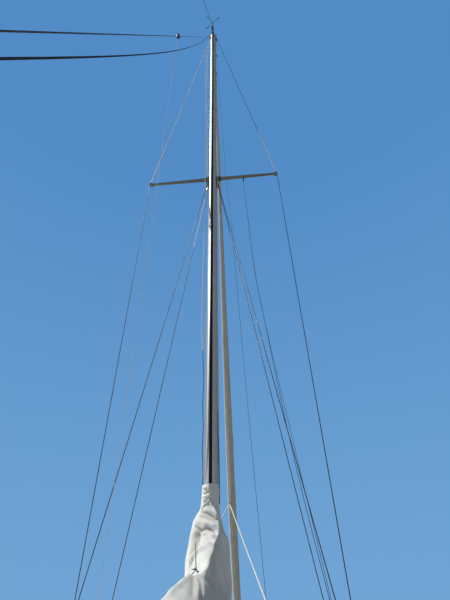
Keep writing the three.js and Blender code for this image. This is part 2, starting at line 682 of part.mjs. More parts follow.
function guardrail(hand) {
  const posts = STANCHIONS.map((y) => join(
    rod(railPoint(hand, y, -20), railPoint(hand, y, RAIL_HEIGHT + 12), RAIL_TUBE, 10),
    rod(railPoint(hand, y, -20), railPoint(hand, y, 55), 20, 10),
  ));
  const stops = [GUARD_ENDS[0], ...STANCHIONS, GUARD_ENDS[1]];
  const wires = [];
  for (const height of [RAIL_HEIGHT * RAIL_MIDDLE, RAIL_HEIGHT]) {
    for (let i = 0; i + 1 < stops.length; i += 1) {
      const [from, to] = [railPoint(hand, stops[i], height), railPoint(hand, stops[i + 1], height)];
      wires.push(rod(from, to, GUARD_WIRE, 8));
    }
  }
  return join(...posts, ...wires);
}

function pulpit() {
  const top = RAIL_HEIGHT + 4;
  const middle = RAIL_HEIGHT * RAIL_MIDDLE;
  const noseZ = railPoint(1, 3500, top + 25)[2];
  const post = 2400;
  const route = [railPoint(-1, post, top), railPoint(-1, 2900, top), [-170, 3400, noseZ], [0, 3560, noseZ],
    [170, 3400, noseZ], railPoint(1, 2900, top), railPoint(1, post, top)];
  let frame = bentTube(route, RAIL_TUBE);
  for (const hand of [-1, 1]) {
    frame = join(
      frame,
      rod(railPoint(hand, post, -20), railPoint(hand, post, top), RAIL_TUBE, 10),
      rod(railPoint(hand, 3080, -20), [hand * 195, 3330, noseZ - 4], RAIL_TUBE, 10),
      rod(railPoint(hand, post, middle), railPoint(hand, 3180, middle - 12), RAIL_BRACE, 8),
    );
  }
  return frame;
}

function pushpit(hand) {
  const top = RAIL_HEIGHT + 4;
  const middle = RAIL_HEIGHT * RAIL_MIDDLE;
  const [front, bend] = [-5080, -5380];
  const level = (height) => deckTopAt(900, QUARTER.y) + height;
  const corner = (y, height) => [hand * (rowAt(HULL_ROWS, y)[1] - RAIL_INSET), y, level(height)];
  const quarter = (height) => [hand * QUARTER.x, QUARTER.y, level(height)];
  const end = (height) => [hand * QUARTER.endX, QUARTER.endY, level(height)];
  const turn = [hand * QUARTER.bendX, QUARTER.bendY, level(top)];
  return join(
    bentTube([corner(front, top), corner(bend, top), turn, end(top)], RAIL_TUBE),
    rod(corner(front, -20), corner(front, top), RAIL_TUBE, 10),
    rod(quarter(-20), quarter(top), RAIL_TUBE, 10),
    rod(end(-20), end(top), RAIL_TUBE, 10),
    rod(corner(front, middle), quarter(middle), RAIL_BRACE, 8),
    rod(quarter(middle), end(middle), RAIL_BRACE, 8),
  );
}

function addRails() {
  const deckTop = deckBody(GAP, 300);
  for (const hand of [-1, 1]) {
    const label = hand < 0 ? "port" : "starboard";
    add(`toe_rail_${label}`, toeRail(hand).subtract(deckTop), COLORS.alloy, 0.4, 0.8);
    add(`guardrail_${label}`, guardrail(hand).subtract(deckTop), COLORS.steel, 0.3, 0.9);
    add(`pushpit_${label}`, pushpit(hand).subtract(deckTop), COLORS.steel, 0.3, 0.9);
  }
  add("pulpit", pulpit().subtract(deckTop), COLORS.steel, 0.3, 0.9);
  const stem = join(
    box(-22, 22, 3290, 3560, 1230, 1300),
    box(-9, 9, 3330, 3440, 1280, FORESTAY.foot[2] - 1.6),
  );
  add("stem_fitting", stem.subtract(deckTop), COLORS.steel, 0.35, 0.9);
}

// Rig
function mastBody(grow) {
  const ring = (z) => ellipseRing(MAST_HALF.x + grow, MAST_HALF.y + grow, 32, (u, v) => [u, v, z]);
  return loft([ring(MAST_STEP_Z + GAP), ring(MAST_TOP_Z)]);
}

function addMast() {
  const groove = box(-LUFF_GROOVE.half, LUFF_GROOVE.half,
    -MAST_HALF.y - 20, -MAST_HALF.y + LUFF_GROOVE.depth, MAST_STEP_Z - 20, MAST_TOP_Z + 20);
  add("mast", mastBody(0).subtract(groove), COLORS.alloy, 0.35, 0.6);
  const step = join(
    box(-105, 105, -150, 130, 1370, MAST_STEP_Z),
    box(-14, 14, -158, -118, 1400, MAST_STEP_Z + 44),
  );
  add("mast_step", step.subtract(roofBody(GAP)), COLORS.alloy, 0.45, 0.7);
  const tangs = [-1, 1].map((hand) => sideBox(hand, 62, 70, -26, 26, MAST_TOP_Z - 150, MAST_TOP_Z + 20));
  const crane = join(
    box(-24, 24, -232, 148, MAST_TOP_Z + GAP, MAST_TOP_Z + 42),
    box(-70, 70, -40, 40, MAST_TOP_Z + GAP, MAST_TOP_Z + 14),
    box(-150, -60, -14, 14, MAST_TOP_Z + GAP, MAST_TOP_Z + 12),
    rod([0, -100, MAST_TOP_Z + 40], [0, -100, MAST_TOP_Z + 690], 6, 8),
    rod([0, -100, MAST_TOP_Z + 640], [-120, -250, MAST_TOP_Z + 640], 3, 6),
    rod([0, -100, MAST_TOP_Z + 640], [40, -275, MAST_TOP_Z + 640], 3, 6),
    ...tangs,
  );
  add("masthead_crane", crane.subtract(mastBody(GAP)), COLORS.black, 0.5, 0.3);
  const hubZ = MAST_TOP_Z + 690 + GAP;
  const vane = join(
    rod([0, -100, hubZ], [0, -100, hubZ + 26], 9, 10),
    rod([-175, 5, hubZ + 16], [165, -199, hubZ + 16], 3, 6),
    box(-3, 3, -62, 62, -34, 40).rotate([0, 0, 59]).translate([-160, -4, hubZ + 18]),
    rod([120, -172, hubZ + 16], [185, -211, hubZ + 16], 15, 8, 1),
  );
  add("wind_vane", vane, COLORS.black, 0.5);
  for (const hand of [-1, 1]) {
    const label = hand < 0 ? "port" : "starboard";
    const section = (x, chord, thick) => ellipseRing(chord / 2, thick / 2, 12,
      (u, v) => [hand * x, u, SPREADER_Z + v]);
    const end = SPREADER_HALF_SPAN;
    const slot = join(
      rod([hand * end, 0, SPREADER_Z - 60], [hand * end, 0, SPREADER_Z + 2], WIRE + 4 * GAP, 8),
      rod([hand * end, 0, SPREADER_Z - 2], [hand * (end - 9.3), 0, SPREADER_Z + 60], WIRE + 4 * GAP, 8),
    );
    const arm = loft([section(56, 64, 24), section(500, 54, 20), section(end - 46, 40, 16)]);
    const boot = loft([section(end - 48, 44, 20), section(end - 20, 58, 30), section(end + 3, 50, 26)]);
    const root = join(
      sideBox(hand, 55, 84, -46, 46, SPREADER_Z - 26, SPREADER_Z + 26),
      sideBox(hand, 55, 70, -34, 34, SPREADER_Z - 150, SPREADER_Z),
    );
    const spreader = join(arm, boot, root).subtract(slot).subtract(mastBody(GAP));
    add(`spreader_${label}`, spreader, COLORS.spreader, 0.6, 0.3);
  }
}

function shroudSolid(hand, [, topX, topY, topZ, footX, footY]) {
  const at = (z) => {
    const t = (topZ - z) / (topZ - SHROUD_FOOT_Z);
    return [hand * (topX + (footX - topX) * t), topY + (footY - topY) * t, z];
  };
  const eye = at(CHAINPLATE_EYE_Z);
  return join(
    rod(eye, at(topZ), WIRE, 8),
    rod(at(CHAINPLATE_EYE_Z - 8), at(CHAINPLATE_EYE_Z + 270), 11, 10),
    rod(at(CHAINPLATE_EYE_Z + 265), at(CHAINPLATE_EYE_Z + 330), 8, 8),
    box(eye[0] - 5, eye[0] + 5, eye[1] - 24, eye[1] + 24, 1030, CHAINPLATE_EYE_Z + 14),
    box(eye[0] - 24, eye[0] + 24, eye[1] - 42, eye[1] + 42, 1040, deckTopAt(Math.abs(eye[0]), eye[1]) + 6),
  );
}

function addStandingRigging() {
  const deckTop = deckBody(GAP, 300);
  for (const hand of [-1, 1]) {
    const label = hand < 0 ? "port" : "starboard";
    for (const row of SHROUDS) {
      let shroud = shroudSolid(hand, row);
      if (row[0] === "cap_shroud") {
        const upper = rod([hand * row[1], 0, SPREADER_Z], [hand * 79, 0, MAST_TOP_Z - 118], WIRE, 8);
        shroud = shroud.add(upper);
      }
      add(`${row[0]}_${label}`, shroud.subtract(deckTop), COLORS.wire, 0.4, 0.7);
    }
  }
  const back = join(
    rod(BACKSTAY.foot, BACKSTAY.head, WIRE, 8),
    box(-5, 5, BACKSTAY.foot[1] - 26, BACKSTAY.foot[1] + 26, 980, BACKSTAY.foot[2] + 14),
    box(-30, 30, BACKSTAY.foot[1] - 40, BACKSTAY.foot[1] + 40, 1000, 1046),
  );
  add("backstay", back.subtract(deckTop), COLORS.wire, 0.4, 0.7);
  const foot = new THREE.Vector3(...FORESTAY.foot);
  const along = new THREE.Vector3(...FORESTAY.head).sub(foot).normalize();
  add("forestay", rod(FORESTAY.foot, FORESTAY.head, 5, 8), COLORS.wire, 0.4, 0.7);
  const turned = (profile, sides) => {
    const geometry = new THREE.LatheGeometry(profile.map((p) => new THREE.Vector2(...p)), sides);
    geometry.applyQuaternion(new THREE.Quaternion().setFromUnitVectors(UPRIGHT, along));
    geometry.translate(...FORESTAY.foot);
    return solidOf(geometry);
  };
  const bore = 13;
  const bearing = 5.6;
  const roll = ROLL_PROFILE.map(([s, radius]) => [radius, s]);
  const first = ROLL_PROFILE[0][0];
  const last = ROLL_PROFILE[ROLL_PROFILE.length - 1][0];
  const sail = [[bore, first], ...roll, [22, last + 20], [30, last + 40], [30, last + 130],
    [bearing, last + 132], [bearing, last + 100], [bore, last + 98], [bore, first]];
  add("furled_headsail", turned(sail, 16), COLORS.sail, 0.85);
  const drum = [
    [bearing, 130], [30, 130], [30, 150], [98, 152], [98, 162], [44, 168], [44, 252], [98, 258], [98, 268],
    [34, 272], [24, first - GAP], [bore, first - GAP], [bore, 152],
    [bearing, 150], [bearing, 130],
  ];
  add("furler_drum", turned(drum, 24), COLORS.black, 0.45);
}

function between(from, to, part) {
  return from.map((value, axis) => value + (to[axis] - value) * part);
}

function addLinesOverBoom() {
  const length = Math.hypot(...TOPPING_LIFT.head.map((value, axis) => value - TOPPING_LIFT.foot[axis]));
  const spread = LIFT_BLOCK.half / length;
  const onLift = (part) => between(TOPPING_LIFT.head, TOPPING_LIFT.foot, part);
  const plateTop = BOOM.aftZ + END_PLATE.above + GAP;
  const lift = join(
    rod(TOPPING_LIFT.head, TOPPING_LIFT.foot, TOPPING_LIFT.radius, 8),
    rod(onLift(LIFT_BLOCK.part - spread), onLift(LIFT_BLOCK.part + spread), LIFT_BLOCK.radius, 8),
    rod(onLift(LIFT_BLOCK.part), LIFT_FALL.foot, LIFT_FALL.radius, 8),
    box(...LIFT_SHACKLE.x, ...LIFT_SHACKLE.y, plateTop, plateTop + LIFT_SHACKLE.height),
  );
  add("topping_lift", lift, COLORS.wire, 0.5, 0.6);
  const hanging = Array.from({ length: MAIN_HALYARD.parts + 1 }, (_, index) => {
    const part = index / MAIN_HALYARD.parts;
    const [x, y, z] = between(MAIN_HALYARD.head, MAIN_HALYARD.foot, part);
    return [x, y, z - 4 * MAIN_HALYARD.sag * part * (1 - part)];
  });
  add("main_halyard", bentTube(hanging, MAIN_HALYARD.radius, 8, 2), COLORS.rope, 0.85);
}

function boomRing(y, grow) {
  const t = (BOOM.fore - y) / (BOOM.fore - BOOM.aft);
  const z = BOOM.foreZ + (BOOM.aftZ - BOOM.foreZ) * t;
  return ellipseRing(BOOM.halfX + grow, BOOM.halfZ + grow, 20, (u, v) => [u, y, z + v]);
}

function coverRing([y, ridge, half, wide, top]) {
  const t = (BOOM.fore - y) / (BOOM.fore - BOOM.aft);
  const hem = BOOM.foreZ + (BOOM.aftZ - BOOM.foreZ) * t - 20;
  const inner = BOOM.halfX + 4;
  const side = [[inner, y, hem]];
  for (const part of [0.25, 0.5, 0.75]) {
    const turn = part * Math.PI / 2;
    side.push([inner + (half - inner) * Math.sin(turn), y, wide - (wide - hem) * Math.cos(turn)]);
  }
  side.push([half, y, wide]);
  for (const part of [0.3, 0.6, 0.85]) {
    side.push([half + (top - half) * part ** 1.25, y, wide + (ridge - wide) * part ** 0.9]);
  }
  side.push([top * 0.8, y, ridge]);
  const port = side.map(([x, yy, z]) => [-x, yy, z]).reverse();
  return [...side, ...port];
}

function addBoom() {
  const pinZ = BOOM.foreZ;
  const goose = join(
    box(-28, 28, BOOM_PIVOT_Y + 18, -60, pinZ - 46, pinZ + 46),
    box(-26, 26, BOOM_PIVOT_Y - 22, BOOM_PIVOT_Y + 22, pinZ - 42, pinZ - 30),
    box(-26, 26, BOOM_PIVOT_Y - 22, BOOM_PIVOT_Y + 22, pinZ + 30, pinZ + 42),
    rod([0, BOOM_PIVOT_Y, pinZ - 50], [0, BOOM_PIVOT_Y, pinZ + 50], 7, 12),
  );
  add("gooseneck", goose.subtract(mastBody(GAP)), COLORS.steel, 0.4, 0.8);
  const knuckle = rod([0, BOOM_PIVOT_Y, pinZ - 25], [0, BOOM_PIVOT_Y, pinZ + 25], 17, 16)
    .subtract(rod([0, BOOM_PIVOT_Y, pinZ - 60], [0, BOOM_PIVOT_Y, pinZ + 60], 7.6, 16));
  const neck = box(-11, 11, BOOM.fore - 20, BOOM_PIVOT_Y - 12, pinZ - 22, pinZ + 22);
  const boom = join(
    loft([boomRing(BOOM.fore, 0), boomRing(BOOM.aft, 0)]),
    neck,
    box(-8, 8, -1010, -950, pinZ - 82, pinZ - 40),
    box(-7, 7, BOOM.aft - 26, BOOM.aft + 14, BOOM.aftZ - END_PLATE.below, BOOM.aftZ + END_PLATE.above),
    box(-8, 8, BOOM.aft + 60, BOOM.aft + 110, BOOM.aftZ - 86, BOOM.aftZ - 40),
  );
  const clear = box(-30, 30, BOOM_PIVOT_Y - 16, BOOM_PIVOT_Y + 40, pinZ - 60, pinZ + 60);
  add("boom", join(boom.subtract(clear), knuckle), COLORS.alloy, 0.35, 0.6);
  const vang = join(
    rod([0, BOOM_PIVOT_Y, 1520], [0, -560, 1745], 22, 12),
    rod([0, -540, 1735], [0, -975, pinZ - 74], 14, 12),
    box(-9, 9, BOOM_PIVOT_Y - 22, BOOM_PIVOT_Y + 16, 1466, 1530),
  );
  const lugSlot = box(-8 - GAP, 8 + GAP, -1010 - GAP, -950 + GAP, pinZ - 82 - GAP, pinZ);
  add("boom_vang", vang.subtract(lugSlot), COLORS.steel, 0.4, 0.7);
  const boomClear = loft([boomRing(BOOM.fore + 400, GAP), boomRing(BOOM.aft - 400, GAP)]);
  add("sail_cover", loft(COVER_STATIONS.map(coverRing)).subtract(boomClear), COLORS.canvas, 0.9);
  const collar = loft(COLLAR_STATIONS.map(
    ([z, halfX, halfY]) => ellipseRing(halfX, halfY, 24, (u, v) => [u, v, z]),
  ));
  add("cover_collar", collar.subtract(mastBody(1)), COLORS.canvas, 0.9);
}

addHull();
addDeck();
addCoachroof();
addCockpit();
addInside();
addKeelRudderDrive();
addRails();
addMast();
addStandingRigging();
addLinesOverBoom();
addBoom();

export default sloop;
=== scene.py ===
"""Looks of a masthead sloop that lies afloat with its mainsail under a boom cover.

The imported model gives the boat's bodies and solids. This script dresses them:
each class below is one sub-assembly, and main() builds them from the rig down.
Lengths are metres, +Y is the bow, +X starboard, and z = 0 the waterline.
"""

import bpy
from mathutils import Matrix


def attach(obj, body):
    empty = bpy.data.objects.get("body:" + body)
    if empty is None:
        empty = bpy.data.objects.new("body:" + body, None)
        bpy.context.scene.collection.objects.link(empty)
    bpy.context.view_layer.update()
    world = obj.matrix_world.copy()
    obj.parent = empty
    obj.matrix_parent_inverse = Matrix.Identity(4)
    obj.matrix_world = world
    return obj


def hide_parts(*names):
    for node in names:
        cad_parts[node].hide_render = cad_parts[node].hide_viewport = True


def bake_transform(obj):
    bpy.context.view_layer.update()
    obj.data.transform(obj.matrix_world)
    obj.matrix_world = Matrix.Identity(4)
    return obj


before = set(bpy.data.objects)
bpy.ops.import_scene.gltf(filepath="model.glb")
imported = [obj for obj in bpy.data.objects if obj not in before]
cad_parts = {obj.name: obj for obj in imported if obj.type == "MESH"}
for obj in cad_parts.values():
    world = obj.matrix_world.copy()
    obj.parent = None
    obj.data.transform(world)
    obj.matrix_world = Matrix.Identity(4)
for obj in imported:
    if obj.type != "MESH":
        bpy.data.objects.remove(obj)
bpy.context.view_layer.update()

import logging
import math
from collections.abc import Iterable, Sequence
from dataclasses import dataclass
from enum import Enum
from functools import cache

import bmesh
import bpy
from mathutils import Matrix, Vector, noise
from mathutils.bvhtree import BVHTree

log = logging.getLogger("sloop")

Point = tuple[float, float, float]
Colour = tuple[float, float, float]
Route = list[Vector]

UP = Vector((0, 0, 1))
ACROSS = Vector((1, 0, 0))
# Vertices nearer than this become one.
MERGE_GAP = 2e-5
# Height above every deck, from which rays look down.
LOOK_FROM = 3.0
# The mast's top, and the height and reach of the spreader tips.
MAST_TOP = 13.4
SPREADER_LEVEL = 7.384
SPREADER_REACH = 0.996


class Hand(Enum):
    """The two sides of the boat, with the sign of their X."""

    PORT = -1
    STARBOARD = 1

    @property
    def label(self) -> str:
        """The word that node names use for this side."""
        return self.name.lower()


class Body(Enum):
    """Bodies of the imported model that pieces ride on."""

    HULL = "root"
    BOOM = "boom"
    HEADSAIL = "headsail"
    STEERING = "steering"
    PROPELLER = "propeller"
    VANE = "wind_vane"
    COMPANION = "companion_hatch"
    FORE_HATCH = "fore_hatch"
    LID_PORT = "locker_lid_port"
    LID_STARBOARD = "locker_lid_starboard"
    WINCH_PORT = "winch_port"
    WINCH_STARBOARD = "winch_starboard"


class Slot(Enum):
    """Material slots of the record."""

    GELCOAT = "gelcoat"
    DECK = "deck_paint"
    COCKPIT = "cockpit_gelcoat"
    WINDOW = "window"
    VARNISH = "varnished_wood"
    SLATS = "slatted_wood"
    CABIN = "cabin_wood"
    HATCH = "hatch_panel"
    SATIN = "satin_alloy"
    MAST = "mast_alloy"
    SPREADER = "spreader_alloy"
    BLACK = "black_fitting"
    STEEL = "polished_steel"
    WIRE = "wire"
    ROPE = "rope"
    ENGINE = "engine_paint"
    BOTTOM = "antifouling"
    BRONZE = "bronze"
    SAIL = "headsail_cloth"
    CANVAS = "cover_canvas"


# Shading


class Nodes:
    """A node tree, with the calls that materials and shared groups need."""

    tree: bpy.types.NodeTree

    def node(self, kind: str, **settings: object) -> bpy.types.Node:
        """Add a node and set its properties.

        Args:
            kind: Blender's name of the node type.
            settings: Properties to set on the node.

        Returns:
            The new node.
        """
        made = self.tree.nodes.new(kind)
        for key, value in settings.items():
            setattr(made, key, value)
        return made

    def link(self, source: bpy.types.NodeSocket, target: bpy.types.NodeSocket) -> None:
        """Join an output to an input."""
        self.tree.links.new(source, target)

    def feed(self, socket: bpy.types.NodeSocket, value: object) -> None:
        """Give an input a link or a plain value, whichever value is.

        Args:
            socket: The input.
            value: Another node's output, or a number, colour or vector.
        """
        if isinstance(value, bpy.types.NodeSocket):
            self.link(value, socket)
        else:
            socket.default_value = value

    def maths(self, operation: str, first: object, second: object = 0.0) -> bpy.types.NodeSocket:
        """One arithmetic step.

        Args:
            operation: Blender's name of the step.
            first: Its first number or socket.
            second: Its second number or socket.

        Returns:
            The socket with the result.
        """
        step = self.node("ShaderNodeMath", operation=operation)
        self.feed(step.inputs[0], first)
        self.feed(step.inputs[1], second)
        return step.outputs[0]


class Shading(Nodes):
    """The node tree of one material."""

    def __init__(self, name: str) -> None:
        """Start a material with a Principled shader.

        Args:
            name: The material's name.
        """
        self.material = bpy.data.materials.new(name)
        self.material.use_nodes = True
        self.tree = self.material.node_tree
        self.shader = self.tree.nodes["Principled BSDF"]
        self.place = self.node("ShaderNodeTexCoord").outputs["Object"]

    def group(self, tree: bpy.types.NodeTree, **inputs: object) -> bpy.types.NodeSocket:
        """Place a shared group and fill its inputs.

        Args:
            tree: The group's node tree.
            inputs: Values or sockets by the input's name.

        Returns:
            The group's one output.
        """
        made = self.node("ShaderNodeGroup", node_tree=tree)
        for key, value in inputs.items():
            self.feed(made.inputs[key], value)
        return made.outputs[0]

    def mottled(self, scale: float, contrast: float, stretch: Point | None = None) -> bpy.types.NodeSocket:
        """Soft uneven patches."""
        place = self.stretched(stretch) if stretch else self.place
        return self.group(mottle_group(), Vector=place, Scale=scale, Contrast=contrast)

    def dusted(self, amount: float) -> bpy.types.NodeSocket:
        """Dust on the faces that look up, as a mask."""
        return self.group(dust_group(), Vector=self.place, Amount=amount)

    def colour(self, mask: bpy.types.NodeSocket, low: object, high: object) -> bpy.types.NodeSocket:
        """Mix two colours by a mask.

        Args:
            mask: The mask, from 0 to 1.
            low: Colour or socket where it is 0.
            high: Colour or socket where it is 1.

        Returns:
            The mixed colour.
        """
        mix = self.node("ShaderNodeMix", data_type="RGBA")
        self.link(mask, mix.inputs["Factor"])
        for socket, value in ((mix.inputs[6], low), (mix.inputs[7], high)):
            self.feed(socket, (*value, 1.0) if isinstance(value, tuple) else value)
        return mix.outputs[2]

    def span(self, mask: bpy.types.NodeSocket, low: float, high: float,
             start: float = 0.0, end: float = 1.0) -> bpy.types.NodeSocket:
        """Stretch a mask from one range to another.

        Args:
            mask: The mask.
            low: The value at start.
            high: The value at end.
            start: Where the mask's range begins.
            end: Where it ends.

        Returns:
            The stretched value.
        """
        spread = self.node("ShaderNodeMapRange")
        self.link(mask, spread.inputs["Value"])
        for key, value in (("From Min", start), ("From Max", end), ("To Min", low), ("To Max", high)):
            spread.inputs[key].default_value = value
        return spread.outputs["Result"]

    def axis(self, name: str) -> bpy.types.NodeSocket:
        """The object coordinate along one axis.

        Args:
            name: X, Y or Z.

        Returns:
            The coordinate in metres.
        """
        split = self.node("ShaderNodeSeparateXYZ")
        self.link(self.place, split.inputs[0])
        return split.outputs[name]

    def stretched(self, scale: Point) -> bpy.types.NodeSocket:
        """Object coordinates scaled apart along the axes.

        Args:
            scale: The three scales.

        Returns:
            The scaled coordinates.
        """
        mapping = self.node("ShaderNodeMapping")
        self.link(self.place, mapping.inputs["Vector"])
        mapping.inputs["Scale"].default_value = scale
        return mapping.outputs["Vector"]

    def relief(self, height: bpy.types.NodeSocket, depth: float, strength: float = 1.0) -> None:
        """Turn a height into the shader's normal.

        Args:
            height: Height from 0 to 1.
            depth: Depth of the relief in metres.
            strength: Share of the relief that shows.
        """
        bump = self.node("ShaderNodeBump")
        bump.inputs["Distance"].default_value = depth
        bump.inputs["Strength"].default_value = strength
        self.link(height, bump.inputs["Height"])
        self.link(bump.outputs["Normal"], self.shader.inputs["Normal"])

    def surface(self, **values: object) -> bpy.types.Material:
        """Set the shader's own sockets and return the material.

        Args:
            values: Values or sockets; an underscore stands for a space.

        Returns:
            The finished material.
        """
        for key, value in values.items():
            if isinstance(value, tuple):
                value = (*value, 1.0)
            self.feed(self.shader.inputs[key.replace("_", " ")], value)
        return self.material


class Effect(Nodes):
    """A node group that more than one finish uses, with one output."""

    def __init__(self, name: str, output: str, **inputs: float) -> None:
        """Start a group that takes a Vector and some numbers.

        Args:
            name: The group's name.
            output: The name of the value that it puts out.
            inputs: Starting values of the numbers by name.
        """
        self.tree = bpy.data.node_groups.new(name, "ShaderNodeTree")
        self.tree.interface.new_socket("Vector", in_out="INPUT", socket_type="NodeSocketVector")
        for key, value in inputs.items():
            number = self.tree.interface.new_socket(key, in_out="INPUT", socket_type="NodeSocketFloat")
            number.default_value = value
        self.tree.interface.new_socket(output, in_out="OUTPUT", socket_type="NodeSocketFloat")
        self.given = self.node("NodeGroupInput").outputs
        self.result = self.node("NodeGroupOutput").inputs[output]

    def finish(self, value: bpy.types.NodeSocket) -> bpy.types.NodeTree:
        """Put a value out and return the group."""
        self.link(value, self.result)
        return self.tree


@cache
def mottle_group() -> bpy.types.NodeTree:
    """Soft uneven patches.

    Returns:
        The group; its mask runs from 0 to 1 and Contrast sharpens it.
    """
    effect = Effect("Mottle", "Mask", Scale=4.0, Contrast=0.3)
    cloud = effect.node("ShaderNodeTexNoise")
    cloud.inputs["Detail"].default_value = 5.0
    spread = effect.node("ShaderNodeMapRange", interpolation_type="SMOOTHSTEP")
    contrast = effect.given["Contrast"]
    for socket, value in ((cloud.inputs["Vector"], effect.given["Vector"]),
                          (cloud.inputs["Scale"], effect.given["Scale"]),
                          (spread.inputs["Value"], cloud.outputs["Fac"]),
                          (spread.inputs["From Min"], effect.maths("SUBTRACT", 0.5, contrast)),
                          (spread.inputs["From Max"], effect.maths("ADD", 0.5, contrast))):
        effect.link(value, socket)
    return effect.finish(spread.outputs["Result"])


@cache
def weave_group() -> bpy.types.NodeTree:
    """Plain weave: two crossed sets of threads.

    Returns:
        The group; its height is up on the threads' crowns.
    """
    effect = Effect("Weave", "Height", Threads=400.0)
    sets = []
    for direction in ("X", "Z"):
        wave = effect.node("ShaderNodeTexWave", bands_direction=direction)
        wave.inputs["Distortion"].default_value = 0.6
        effect.link(effect.given["Vector"], wave.inputs["Vector"])
        effect.link(effect.given["Threads"], wave.inputs["Scale"])
        sets.append(wave.outputs["Fac"])
    return effect.finish(effect.maths("ADD", *sets))


@cache
def dust_group() -> bpy.types.NodeTree:
    """Dust and salt that settle on faces that look up, in uneven patches.

    Returns:
        The group; its mask is 0 where the face is clean.
    """
    effect = Effect("Dust", "Mask", Amount=0.3)
    split = effect.node("ShaderNodeSeparateXYZ")
    upward = effect.node("ShaderNodeMapRange")
    upward.inputs["From Min"].default_value = 0.2
    cloud = effect.node("ShaderNodeTexNoise")
    cloud.inputs["Scale"].default_value = 3.0
    cloud.inputs["Detail"].default_value = 6.0
    effect.link(effect.node("ShaderNodeNewGeometry").outputs["Normal"], split.inputs[0])
    effect.link(split.outputs["Z"], upward.inputs["Value"])
    effect.link(effect.given["Vector"], cloud.inputs["Vector"])
    patch = effect.maths("MULTIPLY", upward.outputs["Result"], cloud.outputs["Fac"])
    return effect.finish(effect.maths("MULTIPLY", patch, effect.given["Amount"]))


# Finishes


@dataclass(frozen=True)
class Finish:
    """A named surface finish; each kind below says how it is painted."""

    name: str
    base: Colour

    def material(self) -> bpy.types.Material:
        """The finish's material, made at its first use."""
        return bpy.data.materials.get(self.name) or self.paint(Shading(self.name))

    def paint(self, shading: Shading) -> bpy.types.Material:
        """Fill the node tree of a new material."""
        raise NotImplementedError


@dataclass(frozen=True)
class Coating(Finish):
    """Gelcoat, paint or moulded plastic with soft patches, grime and orange peel."""

    shade: Colour = (0.5, 0.5, 0.5)
    grime: Colour = (0.32, 0.31, 0.28)
    roughness: float = 0.35
    coat: float = 0.0
    patches: float = 3.0
    dust: float = 0.25
    peel: float = 0.0004

    def paint(self, shading: Shading) -> bpy.types.Material:
        """Patchy colour, grime on upward faces and a fine uneven surface.

        Args:
            shading: The new material's node tree.

        Returns:
            The finished material.
        """
        patches = shading.mottled(self.patches, 0.3)
        dust = shading.dusted(self.dust)
        fine = shading.node("ShaderNodeTexNoise")
        shading.link(shading.place, fine.inputs["Vector"])
        fine.inputs["Scale"].default_value = 60.0
        shading.relief(fine.outputs["Fac"], self.peel)
        coloured = shading.colour(patches, self.base, self.shade)
        return shading.surface(
            Base_Color=shading.colour(dust, coloured, self.grime),
            Roughness=shading.span(patches, self.roughness, self.roughness + 0.15),
            Coat_Weight=self.coat,
            Coat_Roughness=0.08,
        )


@dataclass(frozen=True)
class Topsides(Coating):
    """Hull gelcoat with bottom paint under the waterline and one boot stripe."""

    bottom: Colour = (0.02, 0.045, 0.10)
    stripe: Colour = (0.03, 0.06, 0.16)
    stripe_levels: tuple[float, float] = (0.055, 0.105)
    bottom_level: float = 0.03

    def paint(self, shading: Shading) -> bpy.types.Material:
        """The plain coating first, then the painted bands by height.

        Args:
            shading: The new material's node tree.

        Returns:
            The finished material.
        """
        material = Coating.paint(self, shading)
        gelcoat = shading.shader.inputs["Base Color"].links[0].from_socket
        height = shading.axis("Z")
        above = shading.maths("GREATER_THAN", height, self.stripe_levels[0])
        under = shading.maths("LESS_THAN", height, self.stripe_levels[1])
        band = shading.colour(shading.maths("MULTIPLY", above, under), gelcoat, self.stripe)
        below = shading.maths("LESS_THAN", height, self.bottom_level)
        shading.surface(Base_Color=shading.colour(below, band, self.bottom))
        return material


@dataclass(frozen=True)
class Tread(Coating):
    """Deck paint with a raised non-skid pattern of small domes."""

    dome: float = 160.0
    dome_height: float = 0.0012

    def paint(self, shading: Shading) -> bpy.types.Material:
        """The plain coating with domes as its relief and dirt between them.

        Args:
            shading: The new material's node tree.

        Returns:
            The finished material.
        """
        material = Coating.paint(self, shading)
        cells = shading.node("ShaderNodeTexVoronoi")
        shading.link(shading.place, cells.inputs["Vector"])
        cells.inputs["Scale"].default_value = self.dome
        cells.inputs["Randomness"].default_value = 0.25
        dome = shading.span(cells.outputs["Distance"], 1.0, 0.0, 0.2, 0.6)
        shading.relief(dome, self.dome_height)
        clean = shading.shader.inputs["Base Color"].links[0].from_socket
        shading.surface(Base_Color=shading.colour(shading.span(dome, 0.35, 0.0), clean, self.grime))
        return material


@dataclass(frozen=True)
class Metal(Finish):
    """Anodised, polished or cast metal with drawn streaks and dull spots."""

    shade: Colour = (0.4, 0.4, 0.4)
    roughness: float = 0.35
    metallic: float = 1.0
    streaks: Point = (40.0, 40.0, 2.5)
    spots: float = 30.0
    depth: float = 0.0002

    def paint(self, shading: Shading) -> bpy.types.Material:
        """Streaks along the drawn direction and spots of corrosion.

        Args:
            shading: The new material's node tree.

        Returns:
            The finished material.
        """
        along = shading.mottled(1.0, 0.25, self.streaks)
        spots = shading.mottled(self.spots, 0.12)
        streak = shading.colour(along, self.base, self.shade)
        worn = shading.maths("MULTIPLY", spots, 0.35)
        shading.relief(along, self.depth)
        return shading.surface(
            Base_Color=shading.colour(worn, streak, self.shade),
            Metallic=self.metallic,
            Roughness=shading.span(along, self.roughness, self.roughness + 0.18),
        )


